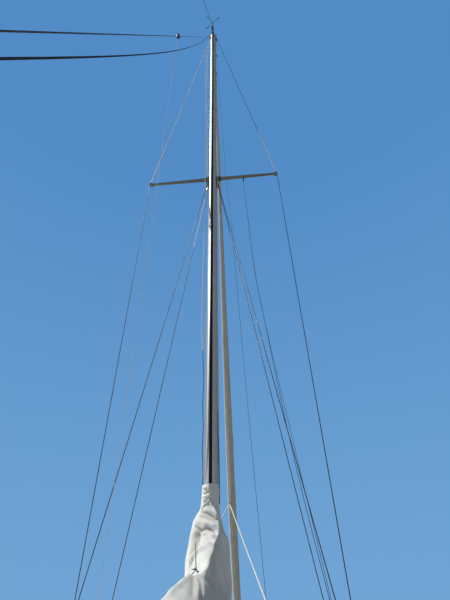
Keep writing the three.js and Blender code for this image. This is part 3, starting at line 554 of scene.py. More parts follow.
@dataclass(frozen=True)
class Laid(Finish):
    """Twisted wire or braided rope, patterned along the swept piece itself."""

    shade: Colour = (0.1, 0.1, 0.1)
    fleck: Colour = (0.3, 0.3, 0.3)
    roughness: float = 0.5
    metallic: float = 0.0
    strands: float = 6.0
    lay: float = 0.05
    crossed: bool = False

    def paint(self, shading: Shading) -> bpy.types.Material:
        """Strands run round the piece as they go along it; a braid has both ways.

        Args:
            shading: The new material's node tree.

        Returns:
            The finished material.
        """
        along = shading.node("ShaderNodeAttribute", attribute_name="lay")
        split = shading.node("ShaderNodeSeparateXYZ")
        shading.link(along.outputs["Vector"], split.inputs[0])
        turn = shading.maths("ARCTAN2", split.outputs["Y"], split.outputs["X"])
        around = shading.maths("MULTIPLY", turn, self.strands)
        length = shading.maths("MULTIPLY", split.outputs["Z"], 2 * math.pi / self.lay)
        height = shading.maths("SINE", shading.maths("ADD", around, length))
        if self.crossed:
            other = shading.maths("SINE", shading.maths("SUBTRACT", around, length))
            height = shading.maths("MULTIPLY", height, other)
        mask = shading.span(height, 0.0, 1.0, -1.0, 1.0)
        shading.relief(mask, 0.0012)
        tone = shading.mottled(14.0, 0.2)
        # The grooves between strands take the darker shade colour: painted shade between them.
        strands = shading.colour(mask, self.shade, self.base)
        flecks = shading.maths("MULTIPLY", tone, 0.4)
        return shading.surface(
            Base_Color=shading.colour(flecks, strands, self.fleck),
            Roughness=shading.span(mask, self.roughness + 0.2, self.roughness),
            Metallic=self.metallic,
        )


@dataclass(frozen=True)
class Cloth(Finish):
    """Woven cloth with weather streaks, stains and a soft sheen."""

    shade: Colour = (0.5, 0.52, 0.5)
    stain: Colour = (0.42, 0.42, 0.36)
    # Colour of sunk folds: their dirt and their painted shade together.
    crease: Colour = (0.40, 0.38, 0.34)
    threads: float = 350.0
    streaks: Point = (9.0, 3.0, 1.2)
    stains: float = 0.3
    sheen: float = 0.25
    roughness: float = 0.8

    def paint(self, shading: Shading) -> bpy.types.Material:
        """Weave as relief, streaks down the cloth, blotches, and dirt with painted shade in sunk folds.

        Args:
            shading: The new material's node tree.

        Returns:
            The finished material.
        """
        weave = shading.group(weave_group(), Vector=shading.place, Threads=self.threads)
        runs = shading.mottled(1.6, 0.28, self.streaks)
        blots = shading.mottled(7.0, 0.14)
        dust = shading.dusted(0.3)
        body = shading.colour(runs, self.base, self.shade)
        marks = shading.maths("MULTIPLY", blots, self.stains)
        # Sunk folds take the crease colour, which paints their shade as well as their dirt.
        sunk = shading.node("ShaderNodeAttribute", attribute_name="soiled_and_shaded").outputs["Fac"]
        soiled_and_shaded = shading.colour(shading.maths("MULTIPLY", sunk, 0.85), body, self.crease)
        stained = shading.colour(marks, soiled_and_shaded, self.stain)
        shading.relief(weave, 0.0006, 0.6)
        return shading.surface(
            Base_Color=shading.colour(dust, stained, self.stain),
            Roughness=shading.span(blots, self.roughness, min(self.roughness + 0.15, 1.0)),
            Sheen_Weight=self.sheen,
            Sheen_Roughness=0.4,
        )


@dataclass(frozen=True)
class Timber(Finish):
    """Wood with grain along the boat, plain or as slats with dark seams."""

    shade: Colour = (0.2, 0.1, 0.04)
    seam: Colour = (0.015, 0.012, 0.01)
    slat: float = 0.0
    coat: float = 0.0
    roughness: float = 0.5
    grain: Point = (60.0, 3.0, 60.0)

    def paint(self, shading: Shading) -> bpy.types.Material:
        """Long grain, and seams across X every slat's width if it has slats.

        Args:
            shading: The new material's node tree.

        Returns:
            The finished material.
        """
        figure = shading.mottled(1.0, 0.22, self.grain)
        boards = shading.mottled(5.0, 0.3)
        wood = shading.colour(figure, self.base, self.shade)
        wood = shading.colour(shading.maths("MULTIPLY", boards, 0.45), wood, self.shade)
        height = figure
        if self.slat:
            lanes = shading.maths("FRACT", shading.maths("MULTIPLY", shading.axis("X"), 1.0 / self.slat))
            seam = shading.maths("LESS_THAN", lanes, 0.12)
            wood = shading.colour(seam, wood, self.seam)
            height = shading.maths("SUBTRACT", height, seam)
        shading.relief(height, 0.0008)
        return shading.surface(
            Base_Color=wood,
            Roughness=shading.span(figure, self.roughness, self.roughness + 0.12),
            Coat_Weight=self.coat,
            Coat_Roughness=0.06,
        )


@dataclass(frozen=True)
class Pane(Finish):
    """Dark acrylic with fine crazing and a film of salt."""

    salt: Colour = (0.30, 0.32, 0.33)

    def paint(self, shading: Shading) -> bpy.types.Material:
        """Deep tint under gloss, salt in soft patches.

        Args:
            shading: The new material's node tree.

        Returns:
            The finished material.
        """
        film = shading.mottled(9.0, 0.18)
        dust = shading.dusted(0.25)
        salted = shading.maths("MULTIPLY", film, 0.12)
        crazing = shading.node("ShaderNodeTexVoronoi", feature="DISTANCE_TO_EDGE")
        shading.link(shading.place, crazing.inputs["Vector"])
        crazing.inputs["Scale"].default_value = 40.0
        shading.relief(shading.span(crazing.outputs["Distance"], 0.0, 1.0, 0.0, 0.02), 0.0001, 0.3)
        tinted = shading.colour(salted, self.base, self.salt)
        return shading.surface(
            Base_Color=shading.colour(dust, tinted, self.salt),
            Roughness=shading.span(film, 0.06, 0.22),
            Coat_Weight=0.6,
            Coat_Roughness=0.05,
        )


TOPSIDES = Topsides("topsides gelcoat", (0.80, 0.81, 0.79), shade=(0.72, 0.74, 0.72), coat=0.4,
                    roughness=0.22, patches=0.9, dust=0.1)
CABIN_GELCOAT = Coating("cabin gelcoat", (0.78, 0.78, 0.74), shade=(0.70, 0.70, 0.65), coat=0.25,
                        roughness=0.3)
COCKPIT_GELCOAT = Coating("cockpit gelcoat", (0.72, 0.71, 0.66), shade=(0.62, 0.61, 0.56), roughness=0.4,
                          dust=0.4)
DECK_TREAD = Tread("non-skid deck", (0.62, 0.60, 0.52), shade=(0.54, 0.52, 0.45), roughness=0.6, dust=0.4)
BOTTOM_PAINT = Coating("bottom paint", (0.02, 0.045, 0.10), shade=(0.035, 0.06, 0.09),
                       grime=(0.10, 0.13, 0.09), roughness=0.75, dust=0.3, patches=2.2, peel=0.0012)
ENGINE_PAINT = Coating("engine enamel", (0.12, 0.20, 0.17), shade=(0.07, 0.12, 0.11), roughness=0.4, dust=0.5)
BLACK_PLASTIC = Coating("black moulding", (0.018, 0.019, 0.022), shade=(0.035, 0.036, 0.038),
                        grime=(0.12, 0.12, 0.12), roughness=0.42, dust=0.3, patches=14.0)
# Black lining of the luff groove, darker than the black mouldings so that it paints the groove's shade too.
TRACK_BLACK_AND_SHADE = Coating("luff track lining", (0.008, 0.009, 0.011), shade=(0.014, 0.014, 0.016), roughness=0.7,
                      dust=0.0, patches=6.0)
WHITE_PLASTIC = Coating("white moulding", (0.72, 0.73, 0.72), shade=(0.62, 0.62, 0.58), roughness=0.4,
                        patches=9.0)
PORT_LENS = Coating("red lens", (0.35, 0.012, 0.012), shade=(0.25, 0.01, 0.01), roughness=0.12, coat=0.8)
STARBOARD_LENS = Coating("green lens", (0.01, 0.22, 0.08), shade=(0.01, 0.15, 0.06), roughness=0.12, coat=0.8)
MAST_ALLOY = Metal("anodised mast", (0.66, 0.68, 0.69), shade=(0.50, 0.53, 0.55), roughness=0.42,
                   metallic=0.55, streaks=(45.0, 45.0, 0.8))
SATIN_ALLOY = Metal("satin alloy", (0.58, 0.60, 0.61), shade=(0.42, 0.44, 0.45), roughness=0.38, metallic=0.8,
                    streaks=(40.0, 1.5, 40.0))
# Dark olive over grey alloy: painted shade of the spreaders' undersides.
SHADED_SPREADER_ALLOY = Metal("weathered spreader", (0.17, 0.165, 0.125), shade=(0.095, 0.095, 0.075), roughness=0.6,
                       metallic=0.3, streaks=(2.0, 40.0, 40.0))
STEEL = Metal("polished steel", (0.66, 0.67, 0.68), shade=(0.48, 0.49, 0.50), roughness=0.16, spots=55.0)
BRONZE = Metal("bronze", (0.42, 0.26, 0.09), shade=(0.16, 0.14, 0.07), roughness=0.36,
               streaks=(12.0, 12.0, 12.0))
GALVANISED = Metal("galvanised iron", (0.40, 0.41, 0.41), shade=(0.25, 0.26, 0.26), roughness=0.6,
                   metallic=0.7, streaks=(14.0, 14.0, 14.0))
WIRE_ROPE = Laid("stay wire", (0.17, 0.19, 0.21), shade=(0.045, 0.05, 0.058), fleck=(0.24, 0.25, 0.26),
                 roughness=0.38, metallic=0.7, strands=6.0, lay=0.06)
DARK_ROPE = Laid("dark braid", (0.030, 0.036, 0.048), shade=(0.012, 0.014, 0.02), fleck=(0.07, 0.08, 0.09),
                 roughness=0.8, strands=8.0, lay=0.03, crossed=True)
WHITE_ROPE = Laid("white braid", (0.78, 0.79, 0.78), shade=(0.42, 0.43, 0.43), fleck=(0.60, 0.62, 0.60),
                  roughness=0.75, strands=8.0, lay=0.03, crossed=True)
FLECKED_ROPE = Laid("flecked braid", (0.66, 0.67, 0.66), shade=(0.34, 0.36, 0.40), fleck=(0.10, 0.14, 0.32),
                    roughness=0.78, strands=8.0, lay=0.03, crossed=True)
COVER_CANVAS = Cloth("cover canvas", (0.80, 0.82, 0.82), shade=(0.70, 0.74, 0.73), stain=(0.50, 0.50, 0.43),
                     stains=0.3)
ROLLED_CLOTH = Cloth("rolled sail strip", (0.46, 0.44, 0.38), shade=(0.37, 0.36, 0.31),
                     stain=(0.30, 0.285, 0.24), streaks=(30.0, 30.0, 0.9), stains=0.35, sheen=0.1)
SAIL_WHITE = Cloth("sailcloth", (0.74, 0.74, 0.71), shade=(0.66, 0.66, 0.62), stain=(0.5, 0.48, 0.4),
                   stains=0.2)
VARNISH = Timber("varnished teak", (0.36, 0.15, 0.045), shade=(0.17, 0.062, 0.018), coat=0.7, roughness=0.3)
SLATTED_TEAK = Timber("slatted teak", (0.40, 0.29, 0.18), shade=(0.25, 0.18, 0.115), slat=0.055,
                      roughness=0.75)
CABIN_WOOD = Timber("cabin wood", (0.30, 0.15, 0.06), shade=(0.15, 0.07, 0.03), slat=0.09, coat=0.3,
                    roughness=0.4)
SMOKED_PANE = Pane("smoked acrylic", (0.012, 0.016, 0.020))
BOOT_RUBBER = Coating("spreader boot rubber", (0.16, 0.17, 0.13), shade=(0.09, 0.10, 0.075), roughness=0.7,
                      patches=16.0)


# Mesh helpers


def vectors(points: Iterable[Sequence[float]]) -> Route:
    """Turn plain triples into vectors."""
    return [Vector(point) for point in points]


def smooth_route(points: Sequence[Sequence[float]], steps: int) -> Route:
    """Run a smooth curve through points.

    Args:
        points: The points that the curve passes.
        steps: Points per gap between two given ones.

    Returns:
        The points of the curve, both ends included.
    """
    given = vectors(points)
    padded = [given[0] * 2 - given[1], *given, given[-1] * 2 - given[-2]]
    route: Route = []
    for a, b, c, d in zip(padded, padded[1:], padded[2:], padded[3:]):
        for step in range(steps):
            t = step / steps
            route.append(0.5 * ((2 * b) + (c - a) * t + (2 * a - 5 * b + 4 * c - d) * t ** 2
                                + (3 * b - a - 3 * c + d) * t ** 3))
    return [*route, given[-1]]


def hanging_route(start: Sequence[float], end: Sequence[float], sag: float, steps: int) -> Route:
    """A line between two points that hangs down in the middle by sag."""
    a, b = Vector(start), Vector(end)
    return [a.lerp(b, i / steps) - UP * (4 * sag * (i / steps) * (1 - i / steps)) for i in range(steps + 1)]


def full_turn(steps: int) -> list[float]:
    """Angles round a circle, the first repeated at the end."""
    return [2 * math.pi * step / steps for step in range(steps + 1)]


def facing(origin: Vector, direction: Vector, side: Vector | None = None) -> Matrix:
    """Make a placement that points along a direction.

    Args:
        origin: Where it stands.
        direction: Where its Z axis points.
        side: A direction that its X axis keeps near.

    Returns:
        The placement.
    """
    z = direction.normalized()
    x = side if side is not None else ACROSS
    if abs(x.dot(z)) > 0.95:
        x = Vector((0, 1, 0))
    y = z.cross(x).normalized()
    return Matrix.Translation(origin) @ Matrix((y.cross(z), y, z)).transposed().to_4x4()


def sweep(mesh: bmesh.types.BMesh, route: Route, radius: float | Sequence[float], sides: int = 10,
          flat: float = 1.0, capped: bool = True) -> None:
    """Push a circle along a route, and note the turn and length in the layer "lay".

    Args:
        mesh: The mesh that gets the tube.
        route: The tube's centreline.
        radius: One radius, or one for each point of the route.
        sides: Edges round the tube.
        flat: Height of the section as a share of its width.
        capped: Whether the ends are closed.
    """
    layer = mesh.verts.layers.float_vector.get("lay") or mesh.verts.layers.float_vector.new("lay")
    radii = [radius] * len(route) if isinstance(radius, (int, float)) else list(radius)
    tangents = [(b - a).normalized() for a, b in zip([route[0], *route[:-1]], [*route[1:], route[-1]])]
    frames: list[Matrix] = []
    for point, tangent in zip(route, tangents):
        side = frames[-1].col[0].to_3d() if frames else None
        frames.append(facing(point, tangent, side))
    shape = Matrix.Diagonal((1, flat, 1, 1))
    ring = bmesh.ops.create_circle(mesh, segments=sides, radius=1.0)["verts"]
    for vert in ring:
        vert[layer] = (vert.co.x, vert.co.y, 0.0)
    edges = list({edge for vert in ring for edge in vert.link_edges})
    placed = Matrix.Identity(4)
    first, travelled = edges, 0.0
    for index, (frame_at, size) in enumerate(zip(frames, radii)):
        if index:
            grown = bmesh.ops.extrude_edge_only(mesh, edges=edges)["geom"]
            ring = [item for item in grown if isinstance(item, bmesh.types.BMVert)]
            edges = [item for item in grown if isinstance(item, bmesh.types.BMEdge)]
            travelled += (route[index] - route[index - 1]).length
            for vert in ring:
                vert[layer] = (*vert[layer][:2], travelled)
        target = frame_at @ Matrix.Scale(size, 4) @ shape
        bmesh.ops.transform(mesh, matrix=target @ placed.inverted(), verts=ring)
        placed = target
    if capped:
        bmesh.ops.edgeloop_fill(mesh, edges=first)
        bmesh.ops.edgeloop_fill(mesh, edges=edges)


def turned(mesh: bmesh.types.BMesh, profile: Sequence[tuple[float, float]], base: Vector, axis: Vector,
           steps: int = 24) -> None:
    """Spin a profile of (radius, height) rows round an axis.

    Args:
        mesh: The mesh that gets the shape.
        profile: Rows from one end to the other; a radius of 0 closes an end.
        base: The point of height 0.
        axis: The direction of the height.
        steps: Faces round the axis.
    """
    placement = facing(base, axis)
    verts = [mesh.verts.new(placement @ Vector((radius, 0, height))) for radius, height in profile]
    edges = [mesh.edges.new(pair) for pair in zip(verts, verts[1:])]
    bmesh.ops.spin(mesh, geom=[*verts, *edges], cent=base, axis=axis.normalized(), dvec=(0, 0, 0),
                   angle=2 * math.pi, steps=steps, use_merge=True)
    poles = [vert for vert in mesh.verts if vert.is_valid and (vert.co - base).cross(axis).length < 1e-6]
    if poles:
        bmesh.ops.remove_doubles(mesh, verts=poles, dist=1e-6)


def block(mesh: bmesh.types.BMesh, low: Point, high: Point, edge: float = 0.003, segments: int = 2) -> None:
    """Add a box between two corners with its edges rounded.

    Args:
        mesh: The mesh that gets the box.
        low: Lowest corner.
        high: Highest corner.
        edge: Radius of the edges.
        segments: Faces across each edge.
    """
    a, b = Vector(low), Vector(high)
    size = Matrix.Diagonal((*(b - a), 1))
    made = bmesh.ops.create_cube(mesh, size=1.0, matrix=Matrix.Translation((a + b) / 2) @ size)["verts"]
    if edge:
        edges = list({edge_of for vert in made for edge_of in vert.link_edges})
        bmesh.ops.bevel(mesh, geom=edges, offset=edge, affect="EDGES", segments=segments, profile=0.5,
                        material=-1)


def block_about(mesh: bmesh.types.BMesh, place: Sequence[float], below: Point, above: Point,
                edge: float = 0.003, segments: int = 2) -> None:
    """Add a rounded box that reaches so far below and above a place."""
    low, high = tuple(a - b for a, b in zip(place, below)), tuple(a + b for a, b in zip(place, above))
    block(mesh, low, high, edge, segments)


def mirrored_block(mesh: bmesh.types.BMesh, side: int, low: Point, high: Point, edge: float = 0.003) -> None:
    """Add a rounded box given for starboard, on the side of a sign."""
    near, far = sorted((side * low[0], side * high[0]))
    block(mesh, (near, *low[1:]), (far, *high[1:]), edge)


def placed_block(mesh: bmesh.types.BMesh, placement: Matrix, size: Point, edge: float = 0.002) -> None:
    """Add a rounded box, centred on a placement and turned with it.

    Args:
        mesh: The mesh that gets the box.
        placement: Its middle and direction.
        size: Its three sizes.
        edge: Radius of the edges.
    """
    half = Vector(size) / 2
    before = set(mesh.verts)
    block(mesh, tuple(-half), tuple(half), edge)
    bmesh.ops.transform(mesh, matrix=placement, verts=[vert for vert in mesh.verts if vert not in before])


def skin(mesh: bmesh.types.BMesh, rings: Sequence[Sequence[Vector]], closed: bool = True) -> None:
    """Bridge rows of points into one surface.

    Args:
        mesh: The mesh that gets the surface.
        rings: Rows with the same number of points.
        closed: Whether each row is a loop; then both ends are filled.
    """
    loops = []
    for ring in rings:
        verts = [mesh.verts.new(point) for point in ring]
        pairs = zip(verts, [*verts[1:], verts[0]] if closed else verts[1:])
        loops.append([mesh.edges.new(pair) for pair in pairs])
    for lower, upper in zip(loops, loops[1:]):
        bmesh.ops.bridge_loops(mesh, edges=[*lower, *upper])
    if closed:
        for loop in (loops[0], loops[-1]):
            bmesh.ops.edgeloop_fill(mesh, edges=loop)


def hoop(mesh: bmesh.types.BMesh, centre: Vector, first: Vector, second: Vector, radius: float,
         steps: int, sides: int) -> None:
    """Add a closed ring of round section."""
    route = [centre + first * math.cos(turn) + second * math.sin(turn) for turn in full_turn(steps)]
    sweep(mesh, route, radius, sides, capped=False)


def add_object(name: str, data: bpy.types.ID) -> bpy.types.Object:
    """Put data into the scene as an object.

    Args:
        name: The object's name.
        data: Its mesh, camera or light.

    Returns:
        The object.
    """
    made = bpy.data.objects.new(name, data)
    bpy.context.scene.collection.objects.link(made)
    return made


def thicken(piece: bpy.types.Object, thickness: float, offset: float = -1.0) -> None:
    """Give an open piece its thickness, inwards or (offset 0) both ways."""
    wall = piece.modifiers.new("wall", "SOLIDIFY")
    wall.thickness, wall.offset = thickness, offset


def mirrored_pair(hand: Hand, point: Sequence[float]) -> Vector:
    """A starboard point, moved to the given hand."""
    return Vector((hand.value * point[0], point[1], point[2]))


def finish_piece(name: str, mesh: bmesh.types.BMesh, body: Body | None, finish: Finish,
                 replaces: Sequence[str] = (), crease: float = 40.0,
                 outwards: bool = True) -> bpy.types.Object:
    """Make a mesh an object of the boat: merged, faced outwards, shaded and dressed.

    Args:
        name: The piece's name.
        mesh: Its mesh, which is used up.
        body: The body that it rides on, or None, which leaves it on no body.
        finish: Its surface finish.
        replaces: CAD nodes that it stands for.
        crease: Angle in degrees from which an edge stays sharp.
        outwards: Whether the faces are turned outwards.

    Returns:
        The new object.
    """
    bmesh.ops.remove_doubles(mesh, verts=mesh.verts, dist=MERGE_GAP)
    if outwards:
        bmesh.ops.recalc_face_normals(mesh, faces=mesh.faces)
    data = bpy.data.meshes.new(name)
    mesh.to_mesh(data)
    mesh.free()
    data.shade_smooth()
    data.set_sharp_from_angle(angle=math.radians(crease))
    data.materials.append(finish.material())
    piece = add_object(name, data)
    if body:
        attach(piece, body.value)
    if replaces:
        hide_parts(*replaces)
    log.info("%s: %d faces on %s", name, len(data.polygons), body.value if body else "two bodies")
    return piece


def apply_modifiers(piece: bpy.types.Object) -> None:
    """Turn a piece's modifiers into its mesh.

    Args:
        piece: The piece.
    """
    graph = bpy.context.evaluated_depsgraph_get()
    data = bpy.data.meshes.new_from_object(piece.evaluated_get(graph), depsgraph=graph)
    piece.modifiers.clear()
    piece.data = data


@dataclass
class Carried:
    """A CAD node that keeps its shape: a copy with eased edges and a real finish."""

    node: str
    body: Body
    slot: Slot
    finish: Finish
    edge: float = 0.004
    crease: float = 32.0

    def build(self) -> bpy.types.Object:
        """Merge a copy of the node's mesh, ease its edges and dress it.

        Returns:
            The object that stands for the node.
        """
        mesh = bmesh.new()
        mesh.from_mesh(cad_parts[self.node].data)
        bmesh.ops.remove_doubles(mesh, verts=mesh.verts, dist=MERGE_GAP)
        bmesh.ops.dissolve_limit(mesh, angle_limit=math.radians(0.4), verts=mesh.verts, edges=mesh.edges)
        piece = finish_piece(f"{self.node}_dressed", mesh, self.body, self.finish,
                             replaces=[self.node], crease=self.crease, outwards=False)
        if self.edge:
            ease = piece.modifiers.new("eased edges", "BEVEL")
            ease.width = self.edge
            ease.segments = 2
            ease.limit_method = "ANGLE"
            ease.angle_limit = math.radians(self.crease)
            ease.harden_normals = True
        return piece


# Camera and studio


@dataclass
class PhotoCamera:
    """The camera of the photograph, aboard over the fore end of the cockpit."""

    place: Point = (0.432, -3.537, 2.249)
    lens: float = 22.92
    yaw: float = -4.57
    pitch: float = 37.738
    roll: float = -1.229
    sensor: float = 36.0
    clip: tuple[float, float] = (0.02, 400.0)

    def build(self) -> bpy.types.Object:
        """Make the scene's camera.

        Returns:
            The camera object.
        """
        yaw, pitch, roll = (math.radians(angle) for angle in (self.yaw, self.pitch, self.roll))
        ahead = Vector((math.sin(yaw) * math.cos(pitch), math.cos(yaw) * math.cos(pitch), math.sin(pitch)))
        level = Vector((math.cos(yaw), -math.sin(yaw), 0))
        upright = level.cross(ahead)
        right = math.cos(roll) * level + math.sin(roll) * upright
        up = math.cos(roll) * upright - math.sin(roll) * level
        data = bpy.data.cameras.new("photo camera")
        data.lens = self.lens
        data.sensor_width = self.sensor
        data.clip_start, data.clip_end = self.clip
        camera = add_object("photo camera", data)
        turn = Matrix((right, up, -ahead)).transposed().to_4x4()
        camera.matrix_world = Matrix.Translation(self.place) @ turn
        bpy.context.scene.camera = camera
        return camera


@dataclass
class Studio:
    """Pale floor at the waterline, a plain soft backdrop tone and two distant lights."""

    floor_half: float = 60.0
    key_strength: float = 5.0
    key_from: Point = (-0.62, 0.05, 0.78)
    key_spread: float = 2.5
    key_tint: Colour = (1.0, 0.975, 0.94)
    fill_strength: float = 0.06
    fill_from: Point = (0.75, -0.55, 0.45)
    fill_spread: float = 60.0
    fill_tint: Colour = (0.86, 0.93, 1.0)
    floor_tones: tuple[Colour, Colour] = ((0.46, 0.50, 0.53), (0.43, 0.47, 0.50))
    low_tone: Colour = (0.165, 0.375, 0.665)
    high_tone: Colour = (0.085, 0.26, 0.56)
    ambient_tone: Colour = (0.50, 0.66, 0.88)
    ambient_strength: float = 0.14

    def floor(self) -> None:
        """Plain pale floor, which hides the underwater body from above."""
        mesh = bmesh.new()
        bmesh.ops.create_grid(mesh, x_segments=2, y_segments=2, size=self.floor_half)
        data = bpy.data.meshes.new("floor")
        mesh.to_mesh(data)
        mesh.free()
        shading = Shading("pale floor")
        tone = shading.mottled(0.4, 0.4)
        data.materials.append(shading.surface(
            Base_Color=shading.colour(tone, *self.floor_tones),
            Roughness=shading.span(tone, 0.7, 0.8),
        ))
        floor = add_object("floor", data)

    def backdrop(self) -> None:
        """A plain tone that deepens upwards for the camera, and a softer one that fills the shade."""
        world = bpy.data.worlds.new("soft backdrop")
        world.use_nodes = True
        bpy.context.scene.world = world
        nodes, links = world.node_tree.nodes, world.node_tree.links
        place = nodes.new("ShaderNodeTexCoord")
        split = nodes.new("ShaderNodeSeparateXYZ")
        rise = nodes.new("ShaderNodeMapRange")
        rise.inputs["From Max"].default_value = 0.85
        tone = nodes.new("ShaderNodeMix")
        tone.data_type = "RGBA"
        tone.inputs[6].default_value = (*self.low_tone, 1.0)
        tone.inputs[7].default_value = (*self.high_tone, 1.0)
        shown = nodes["Background"]
        ambient = nodes.new("ShaderNodeBackground")
        ambient.inputs["Color"].default_value = (*self.ambient_tone, 1.0)
        ambient.inputs["Strength"].default_value = self.ambient_strength
        rays = nodes.new("ShaderNodeLightPath")
        either = nodes.new("ShaderNodeMixShader")
        links.new(place.outputs["Generated"], split.inputs[0])
        links.new(split.outputs["Z"], rise.inputs["Value"])
        links.new(rise.outputs["Result"], tone.inputs["Factor"])
        links.new(tone.outputs[2], shown.inputs["Color"])
        links.new(rays.outputs["Is Camera Ray"], either.inputs["Fac"])
        links.new(ambient.outputs["Background"], either.inputs[1])
        links.new(shown.outputs["Background"], either.inputs[2])
        links.new(either.outputs["Shader"], nodes["World Output"].inputs["Surface"])

    def light(self, name: str, direction: Point, strength: float, spread: float, tint: Colour) -> None:
        """Add one distant soft light.

        Args:
            name: The light's name.
            direction: Where the light comes from.
            strength: Its strength.
            spread: Its angular size in degrees.
            tint: Its colour.
        """
        data = bpy.data.lights.new(name, "SUN")
        data.energy = strength
        data.angle = math.radians(spread)
        data.color = tint
        lamp = add_object(name, data)
        lamp.rotation_mode = "QUATERNION"
        lamp.rotation_quaternion = Vector(direction).to_track_quat("Z", "Y")

    def build(self) -> None:
        """Make floor, backdrop and lights, with plain colour handling."""
        bpy.context.scene.view_settings.view_transform = "Standard"
        self.floor()
        self.backdrop()
        self.light("key light", self.key_from, self.key_strength, self.key_spread, self.key_tint)
        self.light("fill light", self.fill_from, self.fill_strength, self.fill_spread, self.fill_tint)


# Rig


@dataclass
class Mast:
    """Oval alloy section with its luff track, step, fittings and halyard exits."""

    foot: float = 1.4205
    top: float = MAST_TOP
    half_x: float = 0.061
    half_y: float = 0.087
    mouth: float = 0.0145
    track_depth: float = 0.026

    def section(self) -> Route:
        """Outline of the spar at z = 0, with the open track in its after side.

        Returns:
            The points, which make a loop.
        """
        start = math.asin(self.mouth / self.half_x)
        turns = [start + (2 * math.pi - 2 * start) * step / 56 for step in range(57)]
        outline = [Vector((-self.half_x * math.sin(turn), -self.half_y * math.cos(turn), 0))
                   for turn in turns]
        lip = outline[0].y
        bottom = -self.half_y + self.track_depth
        lining = [(0.0165, lip + 0.007), (0.0165, bottom), (0.0, bottom + 0.001), (-0.0165, bottom),
                  (-0.0165, lip + 0.007)]
        return [*outline, *vectors([(x, y, 0) for x, y in lining])]

    def spar(self) -> None:
        """The extrusion itself, in place of the CAD one."""
        mesh = bmesh.new()
        levels = [self.foot, 4.0, 7.0, 10.0, self.top]
        rings = [[Vector((point.x, point.y, level)) for point in self.section()] for level in levels]
        skin(mesh, rings)
        finish_piece("mast_section", mesh, Body.HULL, MAST_ALLOY, replaces=["mast"], crease=28)
        # Near-black lining inside the track: a black insert, and painted shade of the groove.
        lining = bmesh.new()
        bottom = -self.half_y + self.track_depth
        block(lining, (-0.0155, bottom - 0.006, self.foot + 0.02), (0.0155, bottom - 0.001, self.top - 0.01),
              0.001)
        for side in (-1, 1):
            mirrored_block(lining, side, (0.0137, -0.078, self.foot + 0.02),
                           (0.0162, bottom - 0.002, self.top - 0.01), 0.0)
        finish_piece("luff_track_lining_and_shade", lining, Body.HULL, TRACK_BLACK_AND_SHADE)

    def collars(self) -> None:
        """Tang plates of the lower and cap shrouds, with their bolts."""
        mesh = bmesh.new()
        for level, height in ((7.33, 0.16), (13.24, 0.13)):
            for hand in Hand:
                x = self.half_x + 0.002
                mirrored_block(mesh, hand.value, (x, -0.028, level - height / 2),
                               (x + 0.005, 0.028, level + height / 2), 0.002)
                for offset in (-0.3, 0.0, 0.3):
                    turned(mesh, [(0, 0.006), (0.006, 0.005), (0.0085, 0.0), (0.0085, -0.004)],
                           Vector((hand.value * (x + 0.005), 0, level + offset * height)),
                           Vector((hand.value, 0, 0)), 8)
        finish_piece("shroud_tangs", mesh, Body.HULL, STEEL)

    def fittings(self) -> None:
        """Exit boxes, two lights ahead of the mast, halyard winches and cleats."""
        boxes = bmesh.new()
        for x, y, level in ((-0.047, 0.052, 3.3), (0.047, 0.052, 3.6), (-0.055, 0.03, 2.6),
                            (0.055, 0.03, 2.7)):
            block_about(boxes, (x, y, level), (0.012, 0.016, 0.075), (0.012, 0.016, 0.075), 0.005)
        block(boxes, (-0.02, self.half_y - 0.006, 6.52), (0.02, self.half_y + 0.05, 6.60), 0.012, 3)
        block(boxes, (-0.03, self.half_y - 0.006, 7.02), (0.03, self.half_y + 0.055, 7.10), 0.014, 3)
        finish_piece("mast_exit_boxes", boxes, Body.HULL, BLACK_PLASTIC)
        winches = bmesh.new()
        for hand in Hand:
            side = Vector((hand.value, 0.25, 0)).normalized()
            base = Vector((hand.value * 0.050, 0.02, 2.32))
            turned(winches, [(0, 0.0), (0.042, 0.0), (0.042, 0.028), (0.028, 0.034), (0.028, 0.075),
                             (0.036, 0.082), (0.036, 0.09), (0.012, 0.094), (0, 0.094)], base, side, 24)
        finish_piece("halyard_winches", winches, Body.HULL, STEEL)
        cleats = bmesh.new()
        for hand in Hand:
            for level in (1.86, 2.05):
                x = hand.value * (self.half_x + 0.014)
                route = smooth_route([(x + hand.value * out, 0.01, level + rise) for out, rise in
                                      ((-0.003, -0.085), (0.012, -0.03), (0.012, 0.03), (-0.003, 0.085))], 5)
                sweep(cleats, route,
                      [0.004 + 0.004 * math.sin(math.pi * i / (len(route) - 1)) for i in range(len(route))])
                block(cleats, (min(x - 0.016, x), 0.0, level - 0.02), (max(x + 0.016, x), 0.02, level + 0.02),
                      0.004)
        finish_piece("mast_cleats", cleats, Body.HULL, SATIN_ALLOY)

    def build(self) -> None:
        """Make the spar and everything fixed to it."""
        self.spar()
        self.collars()
        self.fittings()
        Carried("mast_step", Body.HULL, Slot.SATIN, SATIN_ALLOY, edge=0.005).build()


